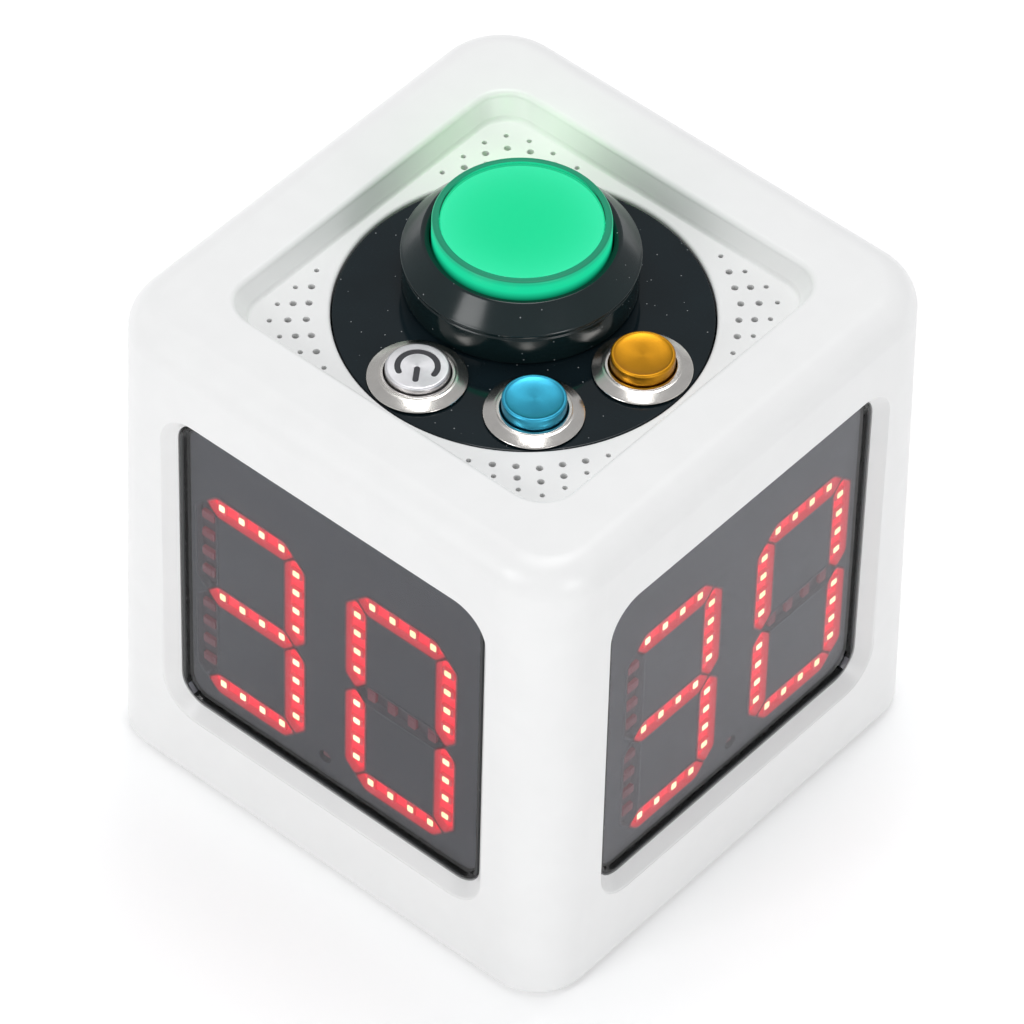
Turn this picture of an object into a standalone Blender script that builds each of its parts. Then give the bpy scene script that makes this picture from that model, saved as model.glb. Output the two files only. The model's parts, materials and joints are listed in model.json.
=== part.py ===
"""Cube game clock: a white case with a lit number display on each side and four
push buttons in a tray on top. Metres, +Z up, origin on the floor under the centre.
The front of the clock faces -Y, its right side +X."""

import math

import bmesh
import bpy
from mathutils import Matrix, Vector

# ---- driving dimensions, metres -------------------------------------------------

FIT_GAP = 0.0003            # between pieces that touch
FOOT_STAND = 0.0012         # how far the feet hold the case off the table

CASE_WIDTH = 0.106
CASE_HEIGHT = 0.1056
CASE_WALL = 0.004
CASE_DRAFT = 0.00025        # each side leans in by this much over the height
CORNER_RADIUS_FOOT = 0.0105
CORNER_RADIUS_TOP = 0.0138
TOP_EDGE_RADIUS = 0.006
RIM_SKIN = 0.003            # top skin over the hollow rim

TRAY_MARGIN = 0.0048        # from the panel hole to where the tray meets the top face
TRAY_DEPTH = 0.0051
TRAY_LEAN = 0.0012          # run of the tray wall from top to floor
TRAY_EDGE_RADIUS = 0.0012
TRAY_CORNER_RADIUS = 0.0066
TRAY_FLOOR_THICKNESS = 0.0026

PANEL_EDGE = 0.0015         # panel seen behind the large button, at least
PANEL_SINK = 0.0005         # panel top below the tray floor
PANEL_FLANGE = 0.0022       # how far the flange reaches past the hole
PANEL_FLANGE_THICKNESS = 0.002

VENT_SMALL_RADIUS = 0.00052
VENT_LARGE_RADIUS = 0.00074
VENT_PITCH = 0.0040         # along each row
VENT_ROWS = 3
VENT_REACH = 0.0037         # first row past the panel hole
VENT_ROW_PITCH = 0.00275
VENT_CREST = 0.00047        # each row's middle hole stands out this much more

WINDOW_MARGIN = 0.015       # frame from the bevel to the case's nearer edges
WINDOW_BEVEL = 0.0022       # run of the bevel
WINDOW_DEPTH = 0.0023       # depth of the bevel
WINDOW_CORNER_RADIUS = 0.0076
PANE_SKIN = 0.0008
PANE_LIP_WIDTH = 0.0009
PANE_LIP_HEIGHT = 0.0006
PANE_SKIRT = 0.001
PANE_FLANGE = 0.0018
PANE_FLANGE_THICKNESS = 0.0012
DISPLAY_THICKNESS = 0.006

COVER_THICKNESS = 0.003
SCREW_RADIUS = 0.0012
SCREW_LENGTH = 0.0118
SCREW_HEAD_RADIUS = 0.0026
SCREW_HEAD_HEIGHT = 0.0015
SCREW_INSET = 0.009         # screw axis in from the case side
POST_RADIUS = 0.0048
POST_TOP = 0.030
FOOT_RADIUS = 0.006
FOOT_INSET = 0.019
FOOT_SEAT = 0.0008          # depth of the foot's pocket

BUTTON_SPREAD = math.radians(52.5)      # between the small buttons, about the centre
DIAGONAL = math.radians(-45)            # the row's middle button stands this way

CAP_RADIUS = 0.0057         # heights and depths of buttons are from the panel's top
CAP_HEIGHT = 0.0042
POWER_CAP_HEIGHT = 0.0031
CAP_SKIRT = 0.003
CAP_TRAVEL = 0.002
CAP_DISH = 0.00018
STEM_RADIUS = 0.002
BARREL_WALL = 0.0019
BUTTON_DEPTH = 0.0115
BUTTON_FLOOR = 0.0015       # thickness
FLANGE_OVERHANG = 0.001
FLANGE_LAND = 0.0005        # width of the flat ring at the flange's top
FLANGE_TOP = 0.00175
NUT_RIM = 0.0019            # nut past the barrel
NUT_SPACE = 0.00108         # half the gap between nuts, corner to corner
NUT_THICKNESS = 0.0025
TERMINAL_INSET = 0.0017     # terminal block inside the barrel's outline
TERMINAL_HEIGHT = 0.003
PIN_SIZE = (0.002, 0.0006, 0.006)
PIN_SPREAD = 0.0035
SPRING_WIRE_RADIUS = 0.00025
SPRING_INSET = 0.0015       # coil inside the cap's outline
SPRING_TURNS = 4

ICON_RADIUS = 0.0035
ICON_STROKE = 0.0011
ICON_GAP = math.radians(54)            # half the ring's gap
ICON_BAR_LENGTH = 0.0038
ICON_BAR_MIDDLE = 0.0020    # out from the mark's centre
ICON_TURN = math.radians(-55)
ICON_DEPTH = 0.0009
ICON_DISC = 0.001
ICON_SLACK = 0.0001         # between the mark and its slots
ICON_STEPS = 14

LENS_RADIUS = 0.0158
LENS_HEIGHT = 0.0149
LENS_SKIN = 0.0013
LENS_BOTTOM = 0.0063
DIFFUSER_WALL = 0.0012
DOME_LIP = 0.0015           # lip past the well
DOME_LIP_HEIGHT = 0.0116
DOME_CONE = 0.0036          # rim past the lip
DOME_RIM_HEIGHT = 0.0076
DOME_SIDE_STEP = 0.0003     # side in from the rim
WELL_FLOOR = 0.0015
DOME_TRAVEL = 0.0032
DOME_BARREL_STEP = 0.0018   # barrel in from the lens
DOME_BARREL_WALL = 0.002
DOME_BARREL_DEPTH = 0.0225
DOME_NUT_RIM = 0.0045
DOME_NUT_THICKNESS = 0.006
DOME_BUTTON_GAP = 0.0002    # rim to a small button's flange, seen from above
PLUNGER_WALL = 0.0014
PLUNGER_PLATE_DEPTH = 0.0105
PLUNGER_PLATE = 0.0015
PLUNGER_BORE = 0.0005
TIP_RADIUS = 0.0025
DOME_SPRING_WIRE_RADIUS = 0.0005
DOME_SPRING_TURNS = 5
LAMP_BOARD = 0.0016
LAMP_CHIP = (0.003, 0.003, 0.0016)
LAMP_CHIP_RADIUS = 0.0055

SWITCH_SIZE = (0.020, 0.0064, 0.0102)
SWITCH_BUTTON_RADIUS = 0.0014
SWITCH_BUTTON_HIDDEN = 0.0022
SWITCH_PIN_SIZE = (0.0032, 0.0006, 0.006)
SWITCH_PIN_SPREAD = 0.0068
BRACKET_THICKNESS = 0.0015
BRACKET_ARM = (0.008, 0.0012)

PORT_WIDTH = 0.009
PORT_HEIGHT = 0.0032
PORT_DEPTH = 0.0075
PORT_WALL = 0.0004
PORT_RECESS = 0.0006        # mouth in from the case's back
PORT_TONGUE = (0.0063, 0.006, 0.0007)

BOARD_THICKNESS = 0.0016
MAIN_BOARD_HALF = 0.032
MAIN_BOARD_LENGTH = 0.052
MAIN_BOARD_LIFT = 0.0011
MAIN_BOARD_SETBACK = 0.003  # board in from the case's inner face
STANDOFF_RADIUS = 0.0025
STANDOFF_INSET = 0.004
BOARD_CORNER = 0.002
BUZZER_RADIUS = 0.006
BUZZER_HEIGHT = 0.0085
BUZZER_BORE = 0.001
BUZZER_X = -0.020
BUZZER_Y = -0.012           # from the board's middle
BOARD_CHIPS = ((0.010, 0.010, 0.0012, -0.004, 0.0), (0.006, 0.006, 0.004, 0.014, 0.012),
               (0.008, 0.005, 0.0015, -0.020, 0.010), (0.012, 0.005, 0.005, 0.002, -0.018))
BOARD_PLUG = (0.012, 0.005, 0.004)

BATTERY_RADIUS = 0.0092
BATTERY_LENGTH = 0.065
BATTERY_CAP_RADIUS = 0.0025
BATTERY_CAP = 0.001
BATTERY_Y = -0.024
HOLDER_WALL = 0.0012

BIG_ROUND = 32              # sides of the large turned pieces
SMALL_ROUND = 20
HOLE_ROUND = 6
CORNER_STEPS = 6

# ---- places worked out from them --------------------------------------------------

BUTTON_BORE_RADIUS = CAP_RADIUS + FIT_GAP
BARREL_RADIUS = BUTTON_BORE_RADIUS + BARREL_WALL
FLANGE_RADIUS = BARREL_RADIUS + FLANGE_OVERHANG
FLANGE_LAND_RADIUS = BUTTON_BORE_RADIUS + FLANGE_LAND
NUT_RADIUS = BARREL_RADIUS + NUT_RIM

WELL_RADIUS = LENS_RADIUS + FIT_GAP
DOME_LIP_RADIUS = WELL_RADIUS + DOME_LIP
DOME_RIM_RADIUS = DOME_LIP_RADIUS + DOME_CONE
DOME_BARREL_RADIUS = LENS_RADIUS - DOME_BARREL_STEP
DOME_BORE_RADIUS = DOME_BARREL_RADIUS - DOME_BARREL_WALL
DOME_NUT_RADIUS = DOME_BARREL_RADIUS + DOME_NUT_RIM
DOME_REACH = DOME_RIM_RADIUS + FLANGE_RADIUS + DOME_BUTTON_GAP      # dome axis to an outer button's

# The panel's edge passes just outside the small flanges and PANEL_EDGE behind the large rim. The small
# buttons stand where both hold, or further out if their nuts need it.
REACH_SHARE = 1 + math.cos(BUTTON_SPREAD)
RIM_EXCESS = DOME_RIM_RADIUS + PANEL_EDGE - FLANGE_RADIUS - FIT_GAP
LEVEL_REACH = math.sqrt((REACH_SHARE * RIM_EXCESS) ** 2
                        + 2 * REACH_SHARE * (DOME_REACH ** 2 - RIM_EXCESS ** 2))
LEVEL_CIRCLE_RADIUS = (REACH_SHARE * RIM_EXCESS + LEVEL_REACH) / (2 * REACH_SHARE)
NUT_CIRCLE_RADIUS = (NUT_RADIUS + NUT_SPACE) / math.sin(BUTTON_SPREAD / 2)
BUTTON_CIRCLE_RADIUS = max(LEVEL_CIRCLE_RADIUS, NUT_CIRCLE_RADIUS)
DOME_OFFSET = (math.sqrt(DOME_REACH ** 2 - (BUTTON_CIRCLE_RADIUS * math.sin(BUTTON_SPREAD)) ** 2)
               - BUTTON_CIRCLE_RADIUS * math.cos(BUTTON_SPREAD))    # behind the centre, on the diagonal

PANEL_HOLE_RADIUS = BUTTON_CIRCLE_RADIUS + FLANGE_RADIUS + FIT_GAP
TRAY_HALF_WIDTH = PANEL_HOLE_RADIUS + TRAY_MARGIN

CASE_BOTTOM = FOOT_STAND
CASE_TOP = CASE_BOTTOM + CASE_HEIGHT
CASE_HALF = CASE_WIDTH / 2
FACE_HALF = CASE_HALF - CASE_DRAFT / 2
CASE_MIDDLE = CASE_BOTTOM + CASE_HEIGHT / 2
TRAY_FLOOR = CASE_TOP - TRAY_DEPTH
TRAY_UNDERSIDE = TRAY_FLOOR - TRAY_FLOOR_THICKNESS
PANEL_TOP = TRAY_FLOOR - PANEL_SINK
PANEL_BOTTOM = TRAY_UNDERSIDE - FIT_GAP - PANEL_FLANGE_THICKNESS
PANEL_THICKNESS = PANEL_TOP - PANEL_BOTTOM
COVER_TOP = CASE_BOTTOM + COVER_THICKNESS
INNER_HALF = CASE_HALF - CASE_WALL
WINDOW_HALF = min(CASE_WIDTH, CASE_HEIGHT) / 2 - WINDOW_MARGIN      # outline of the bevel, on the face
OPENING_HALF = WINDOW_HALF - WINDOW_BEVEL
OPENING_RADIUS = WINDOW_CORNER_RADIUS - WINDOW_BEVEL
PANE_HALF = OPENING_HALF - FIT_GAP
PANE_FRONT = WINDOW_DEPTH + PANE_LIP_HEIGHT
DISPLAY_HALF = PANE_HALF - PANE_SKIRT - FIT_GAP
DISPLAY_FRONT = PANE_FRONT + PANE_SKIN + FIT_GAP
BOARD_FRONT = DISPLAY_FRONT + DISPLAY_THICKNESS + FIT_GAP
SCREW_AXIS = CASE_HALF - SCREW_INSET
FOOT_AXIS = CASE_HALF - FOOT_INSET
MAIN_BOARD_BOTTOM = COVER_TOP + MAIN_BOARD_LIFT
MAIN_BOARD_TOP = MAIN_BOARD_BOTTOM + BOARD_THICKNESS
MAIN_BOARD_MIDDLE = INNER_HALF - MAIN_BOARD_SETBACK - MAIN_BOARD_LENGTH / 2
PORT_MIDDLE = MAIN_BOARD_TOP + FIT_GAP + PORT_HEIGHT / 2

SIDES = ("front", "right", "back", "left")
CORNERS = ("front_left", "front_right", "back_right", "back_left")

# ---- scene ------------------------------------------------------------------------

for leftover in list(bpy.data.objects):
    bpy.data.objects.remove(leftover)

parts = bpy.data.collections.new("cube_game_clock")
cutters = bpy.data.collections.new("cutters")
for collection in (parts, cutters):
    bpy.context.scene.collection.children.link(collection)


def material(name, colour, roughness, metallic=0.0):
    """A plain Principled material."""
    result = bpy.data.materials.new(name)
    result.use_nodes = True
    shader = result.node_tree.nodes["Principled BSDF"]
    shader.inputs["Base Color"].default_value = (*colour, 1.0)
    shader.inputs["Roughness"].default_value = roughness
    shader.inputs["Metallic"].default_value = metallic
    return result


WHITE = material("white_plastic", (0.86, 0.86, 0.87), 0.25)
BLACK = material("black_gloss_plastic", (0.015, 0.019, 0.021), 0.12)
SMOKE = material("smoked_pane", (0.045, 0.048, 0.052), 0.08)
REFLECTOR = material("display_face", (0.03, 0.02, 0.022), 0.5)
BOARD = material("circuit_board", (0.02, 0.16, 0.06), 0.45)
LENS = material("green_lens", (0.01, 0.62, 0.28), 0.1)
DIFFUSER = material("diffuser", (0.55, 0.95, 0.75), 0.4)
NICKEL = material("nickel", (0.72, 0.70, 0.66), 0.25, 1.0)
SILVER = material("silver_cap", (0.62, 0.62, 0.64), 0.35, 1.0)
BLUE = material("blue_cap", (0.10, 0.42, 0.66), 0.28, 1.0)
GOLD = material("gold_cap", (0.78, 0.43, 0.04), 0.28, 1.0)
ICON = material("icon_insert", (0.03, 0.03, 0.035), 0.3)
RUBBER = material("foot_rubber", (0.03, 0.03, 0.03), 0.8)
STEEL = material("steel", (0.55, 0.55, 0.56), 0.3, 1.0)
DARK_PLASTIC = material("dark_plastic", (0.03, 0.03, 0.032), 0.45)
CELL = material("battery_wrap", (0.05, 0.25, 0.55), 0.35)


# ---- modelling helpers --------------------------------------------------------------

def add(name, mesh, finish, location=(0, 0, 0)):
    """Puts a mesh in the scene as a part, or as a cutter when it has no finish."""
    piece = bpy.data.objects.new(name, mesh)
    piece.location = location
    if finish is None:
        cutters.objects.link(piece)
        piece.hide_render = True
        piece.display_type = "WIRE"
    else:
        parts.objects.link(piece)
        mesh.materials.append(finish)
    return piece


def mesh_of(name, shape):
    """Turns a bmesh into a mesh with its faces pointing out."""
    bmesh.ops.recalc_face_normals(shape, faces=shape.faces)
    mesh = bpy.data.meshes.new(name)
    shape.to_mesh(mesh)
    shape.free()
    return mesh


def block(name, size, finish, location=(0, 0, 0), corner=0.0):
    """A box, its upright edges rounded by corner."""
    shape = bmesh.new()
    bmesh.ops.create_cube(shape, size=1.0)
    bmesh.ops.scale(shape, vec=size, verts=shape.verts)
    if corner:
        upright = [edge for edge in shape.edges
                   if abs(edge.verts[0].co.z - edge.verts[1].co.z) > size[2] / 2]
        bmesh.ops.bevel(shape, geom=upright, offset=corner, segments=CORNER_STEPS // 2,
                        profile=0.5, affect="EDGES")
    return add(name, mesh_of(name, shape), finish, location)


def rod(name, radius, low, high, finish, location=(0, 0, 0), sides=SMALL_ROUND):
    """An upright cylinder from low to high."""
    shape = bmesh.new()
    bmesh.ops.create_cone(shape, cap_ends=True, segments=sides, radius1=radius,
                          radius2=radius, depth=high - low)
    bmesh.ops.translate(shape, vec=(0, 0, (low + high) / 2), verts=shape.verts)
    return add(name, mesh_of(name, shape), finish, location)


def turned(name, profile, finish, location=(0, 0, 0), sides=SMALL_ROUND):
    """Spins (radius, height) points about Z. The profile runs down its outer side;
    one that doesn't start and end on the axis closes on itself as a ring."""
    mesh = bpy.data.meshes.new(name)
    edges = [(i, i + 1) for i in range(len(profile) - 1)]
    if profile[0][0] > 0:
        edges.append((len(profile) - 1, 0))
    mesh.from_pydata([(radius, 0, height) for radius, height in profile], edges, [])
    piece = add(name, mesh, finish, location)
    spin = piece.modifiers.new("spin", "SCREW")
    spin.steps = sides
    spin.render_steps = sides
    spin.use_merge_vertices = True
    spin.merge_threshold = 0.00001
    return piece


def rounded_square(half, radius):
    """Points of a rounded square, anticlockwise."""
    points = []
    for quarter in range(4):
        for step in range(CORNER_STEPS + 1):
            angle = (quarter + step / CORNER_STEPS) * math.pi / 2
            diagonal = (quarter + 0.5) * math.pi / 2
            points.append((math.copysign(half - radius, math.cos(diagonal)) + radius * math.cos(angle),
                           math.copysign(half - radius, math.sin(diagonal)) + radius * math.sin(angle)))
    return points


def lofted(name, sections, finish, location=(0, 0, 0)):
    """Closed solid through rounded squares, each (height, half width, corner radius)."""
    shape = bmesh.new()
    rings = [[shape.verts.new((x, y, height)) for x, y in rounded_square(half, radius)]
             for height, half, radius in sections]
    for lower, upper in zip(rings, rings[1:]):
        for i in range(len(lower)):
            j = (i + 1) % len(lower)
            shape.faces.new((lower[i], lower[j], upper[j], upper[i]))
    shape.faces.new(rings[0])
    shape.faces.new(rings[-1])
    return add(name, mesh_of(name, shape), finish, location)


def combine(piece, other, operation):
    """Cuts other from piece, or joins it on, with an exact Boolean."""
    step = piece.modifiers.new(other.name, "BOOLEAN")
    step.operation = operation
    step.solver = "EXACT"
    step.object = other


def cut(piece, *others):
    for other in others:
        combine(piece, other, "DIFFERENCE")


def join(piece, *others):
    for other in others:
        combine(piece, other, "UNION")


def to_face(side):
    """Places what is modelled flat, its front up, on one side of the case."""
    out_of_front = Matrix(((1, 0, 0), (0, 0, -1), (0, 1, 0))).to_4x4()
    turn = Matrix.Rotation(SIDES.index(side) * math.pi / 2, 4, "Z")
    return turn @ Matrix.Translation((0, -FACE_HALF, CASE_MIDDLE)) @ out_of_front


def corner_place(index, distance, height=0.0):
    """A place near one of the four upright edges."""
    angle = math.radians(-135 + 90 * index)
    return Vector((distance * math.copysign(1, math.cos(angle)),
                   distance * math.copysign(1, math.sin(angle)), height))


def fillet(radius, steps, start, end):
    """(sideways, up) offsets along a quarter round, from angle start to angle end."""
    for step in range(steps + 1):
        angle = math.radians(start + (end - start) * step / steps)
        yield radius * math.cos(angle), radius * math.sin(angle)


# ---- case ---------------------------------------------------------------------------

def case_half(height):
    """Half width of the case at a height."""
    return CASE_HALF - CASE_DRAFT * (height - CASE_BOTTOM) / CASE_HEIGHT


def corner_radius(height):
    share = (height - CASE_BOTTOM) / CASE_HEIGHT
    return CORNER_RADIUS_FOOT + share * (CORNER_RADIUS_TOP - CORNER_RADIUS_FOOT)


def outer_sections():
    bottom_round = 0.0005
    sections = [(CASE_BOTTOM, case_half(CASE_BOTTOM) - bottom_round, CORNER_RADIUS_FOOT - bottom_round),
                (CASE_BOTTOM + bottom_round, case_half(CASE_BOTTOM), CORNER_RADIUS_FOOT)]
    shoulder = CASE_TOP - TOP_EDGE_RADIUS
    for side, up in fillet(TOP_EDGE_RADIUS, 5, 0, 90):
        inset = TOP_EDGE_RADIUS - side
        sections.append((shoulder + up, case_half(shoulder) - inset, corner_radius(shoulder) - inset))
    return sections


def cavity():
    """The hollow of the case: up to the top skin, around the tray."""
    low = CASE_BOTTOM - CASE_WALL
    high = CASE_TOP - RIM_SKIN
    hollow = lofted("case_hollow", [
        (low, INNER_HALF, CORNER_RADIUS_FOOT - CASE_WALL),
        (high - TOP_EDGE_RADIUS / 2, case_half(high) - CASE_WALL, corner_radius(high) - CASE_WALL),
        (high, case_half(high) - CASE_WALL - TOP_EDGE_RADIUS / 2, corner_radius(high) - CASE_WALL),
    ], None)
    tray_outside = TRAY_HALF_WIDTH + RIM_SKIN / 2
    around_tray = lofted("tray_block", [
        (TRAY_UNDERSIDE, tray_outside, TRAY_CORNER_RADIUS + RIM_SKIN / 2),
        (CASE_TOP + CASE_WALL, tray_outside, TRAY_CORNER_RADIUS + RIM_SKIN / 2),
    ], None)
    cut(hollow, around_tray)
    return hollow


def tray_cutter():
    """The tray, with a rounded edge at its top and a rounded foot to its wall."""
    wall_half = TRAY_HALF_WIDTH - TRAY_EDGE_RADIUS
    floor_half = wall_half - TRAY_LEAN
    sections = []
    for side, up in fillet(TRAY_EDGE_RADIUS, 3, -90, 0):
        sections.append((TRAY_FLOOR + TRAY_EDGE_RADIUS + up, floor_half - TRAY_EDGE_RADIUS / 2 + side / 2,
                         TRAY_CORNER_RADIUS))
    for side, up in fillet(TRAY_EDGE_RADIUS, 3, 180, 90):
        sections.append((CASE_TOP - TRAY_EDGE_RADIUS + up, TRAY_HALF_WIDTH + side,
                         TRAY_CORNER_RADIUS + TRAY_EDGE_RADIUS + side))
    sections.append((CASE_TOP + CASE_WALL, TRAY_HALF_WIDTH, TRAY_CORNER_RADIUS + TRAY_EDGE_RADIUS))
    return lofted("tray_cut", sections, None)


def vent_places():
    """(along the diagonal, across it, radius) of the vent holes of one corner."""
    for row in range(1, VENT_ROWS + 1):
        circle = PANEL_HOLE_RADIUS + VENT_REACH + (row - 1) * VENT_ROW_PITCH
        each_side = VENT_ROWS + 1 - row
        for step in range(-each_side, each_side + 1):
            across = step * VENT_PITCH
            along = math.sqrt(circle ** 2 - across ** 2) if step else circle + row * VENT_CREST
            small = abs(step) == each_side or row == VENT_ROWS
            yield along, across, VENT_SMALL_RADIUS if small else VENT_LARGE_RADIUS


def vent_cutter():
    """All the vent holes as one cutter of separate rods."""
    shape = bmesh.new()
    depth = TRAY_FLOOR_THICKNESS * 3
    for corner in range(4):
        turn = Matrix.Rotation(math.radians(45 + 90 * corner), 4, "Z")
        for along, across, radius in vent_places():
            place = turn @ Matrix.Translation((along, across, TRAY_FLOOR - TRAY_FLOOR_THICKNESS / 2))
            bmesh.ops.create_cone(shape, cap_ends=True, segments=HOLE_ROUND, radius1=radius,
                                  radius2=radius, depth=depth, matrix=place)
    return add("vent_cut", mesh_of("vent_cut", shape), None)


def window_cutter(side):
    """A window: a bevel in from the face, then straight through the wall."""
    slope = WINDOW_BEVEL / WINDOW_DEPTH
    proud = 0.0008
    through = CASE_WALL * 1.5
    opening = lofted("window_cut_" + side, [
        (-through, OPENING_HALF, OPENING_RADIUS),
        (-WINDOW_DEPTH, OPENING_HALF, OPENING_RADIUS),
        (proud, WINDOW_HALF + proud * slope, WINDOW_CORNER_RADIUS + proud * slope),
    ], None)
    opening.matrix_world = to_face(side)
    return opening


def make_case():
    case = lofted("case", outer_sections(), WHITE)
    cut(case, cavity(), tray_cutter())
    cut(case, rod("panel_hole", PANEL_HOLE_RADIUS, TRAY_UNDERSIDE - FIT_GAP, CASE_TOP, None,
                  sides=BIG_ROUND))
    for side in SIDES:
        cut(case, window_cutter(side))
    for index, corner in enumerate(CORNERS):
        place = corner_place(index, SCREW_AXIS)
        post = rod("post_" + corner, POST_RADIUS, COVER_TOP + FIT_GAP, POST_TOP, None, place, 12)
        pilot = rod("pilot_" + corner, SCREW_RADIUS + FIT_GAP, CASE_BOTTOM,
                    COVER_TOP + SCREW_LENGTH, None, place, HOLE_ROUND)
        join(case, post)
        cut(case, pilot)
    cut(case, port_opening(), vent_cutter())


# ---- charging port ---------------------------------------------------------------

def port_opening():
    opening = block("port_cut", (PORT_WIDTH + 2 * FIT_GAP, PORT_HEIGHT + 2 * FIT_GAP, CASE_WALL * 3),
                    None, (0, CASE_HALF, PORT_MIDDLE), corner=PORT_HEIGHT / 2)
    opening.rotation_euler = (math.pi / 2, 0, 0)
    return opening


def make_port():
    """A small rounded metal socket, open to the back."""
    back = CASE_HALF - PORT_RECESS
    shell = block("charging_port", (PORT_WIDTH, PORT_HEIGHT, PORT_DEPTH), STEEL,
                  (0, back - PORT_DEPTH / 2, PORT_MIDDLE), corner=PORT_HEIGHT * 0.45)
    shell.rotation_euler = (math.pi / 2, 0, 0)
    hole = block("port_hole", (PORT_WIDTH - 2 * PORT_WALL, PORT_HEIGHT - 2 * PORT_WALL, PORT_DEPTH),
                 None, (0, back - PORT_DEPTH / 2 + PORT_WALL * 3, PORT_MIDDLE),
                 corner=(PORT_HEIGHT - 2 * PORT_WALL) * 0.45)
    hole.rotation_euler = (math.pi / 2, 0, 0)
    tongue = block("port_tongue", PORT_TONGUE, None,
                   (0, back - PORT_DEPTH + PORT_WALL + PORT_TONGUE[1] / 2, PORT_MIDDLE))
    cut(shell, hole)
    join(shell, tongue)


# ---- base cover, its screws and feet ------------------------------------------------

def make_base():
    inner_radius = CORNER_RADIUS_FOOT - CASE_WALL - FIT_GAP
    cover = lofted("base_cover", [(CASE_BOTTOM, INNER_HALF - FIT_GAP, inner_radius),
                                  (COVER_TOP, INNER_HALF - FIT_GAP, inner_radius)], WHITE)
    head_bottom = CASE_BOTTOM + FIT_GAP
    head_top = head_bottom + SCREW_HEAD_HEIGHT
    foot_top = CASE_BOTTOM + FOOT_SEAT - FIT_GAP
    for index, corner in enumerate(CORNERS):
        screw_place = corner_place(index, SCREW_AXIS)
        foot_place = corner_place(index, FOOT_AXIS)
        cut(cover,
            rod("head_cut_" + corner, SCREW_HEAD_RADIUS + FIT_GAP, CASE_BOTTOM - FIT_GAP,
                head_top + FIT_GAP, None, screw_place, 12),
            rod("shank_cut_" + corner, SCREW_RADIUS + FIT_GAP, CASE_BOTTOM, COVER_TOP + FIT_GAP,
                None, screw_place, HOLE_ROUND),
            rod("foot_cut_" + corner, FOOT_RADIUS + FIT_GAP, CASE_BOTTOM - FIT_GAP,
                CASE_BOTTOM + FOOT_SEAT, None, foot_place, 16))
        turned("cover_screw_" + corner, [
            (0, head_top + SCREW_LENGTH), (SCREW_RADIUS * 0.4, head_top + SCREW_LENGTH),
            (SCREW_RADIUS, head_top + SCREW_LENGTH - SCREW_RADIUS), (SCREW_RADIUS, head_top),
            (SCREW_HEAD_RADIUS, head_top), (SCREW_HEAD_RADIUS, head_bottom + SCREW_HEAD_HEIGHT / 3),
            (SCREW_HEAD_RADIUS * 0.8, head_bottom), (SCREW_HEAD_RADIUS * 0.35, head_bottom),
            (SCREW_HEAD_RADIUS * 0.3, head_bottom + SCREW_HEAD_HEIGHT / 2),
            (0, head_bottom + SCREW_HEAD_HEIGHT / 2),
        ], STEEL, screw_place, 10)
        turned("foot_" + corner, [(0, foot_top), (FOOT_RADIUS, foot_top),
                                  (FOOT_RADIUS, FOOT_STAND / 4),
                                  (FOOT_RADIUS - FOOT_STAND / 4, 0), (0, 0)], RUBBER, foot_place, 16)
    standoff_height = MAIN_BOARD_BOTTOM - FIT_GAP
    for index, corner in enumerate(CORNERS):
        x_sign, y_sign, _ = corner_place(index, 1)
        place = (x_sign * (MAIN_BOARD_HALF - STANDOFF_INSET),
                 MAIN_BOARD_MIDDLE + y_sign * (MAIN_BOARD_LENGTH / 2 - STANDOFF_INSET), 0)
        join(cover, rod("standoff_" + corner, STANDOFF_RADIUS, COVER_TOP - FIT_GAP, standoff_height,
                        None, place, 12))


# ---- windows and displays -------------------------------------------------------------

def make_window(side):
    """Smoked pane: a lip around its front, a hollow back and a flange behind the wall."""
    flange_front = CASE_WALL + CASE_DRAFT + FIT_GAP
    flange_back = flange_front + PANE_FLANGE_THICKNESS
    flange_half = OPENING_HALF + PANE_FLANGE
    pane = lofted("window_" + side, [
        (-flange_back, flange_half, OPENING_RADIUS), (-flange_front, flange_half, OPENING_RADIUS),
        (-flange_front, PANE_HALF, OPENING_RADIUS - FIT_GAP),
        (-WINDOW_DEPTH, PANE_HALF, OPENING_RADIUS - FIT_GAP),
        (-WINDOW_DEPTH, PANE_HALF - PANE_LIP_WIDTH, OPENING_RADIUS - FIT_GAP - PANE_LIP_WIDTH),
        (-PANE_FRONT, PANE_HALF - PANE_LIP_WIDTH - FIT_GAP, OPENING_RADIUS - 2 * FIT_GAP - PANE_LIP_WIDTH),
    ], SMOKE)
    hollow = lofted("pane_hollow_" + side, [
        (-flange_back - FIT_GAP, PANE_HALF - PANE_SKIRT, OPENING_RADIUS - PANE_SKIRT),
        (-PANE_FRONT - PANE_SKIN, PANE_HALF - PANE_SKIRT, OPENING_RADIUS - PANE_SKIRT)], None)
    cut(pane, hollow)
    for piece in (pane, hollow):
        piece.matrix_world = to_face(side)


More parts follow.
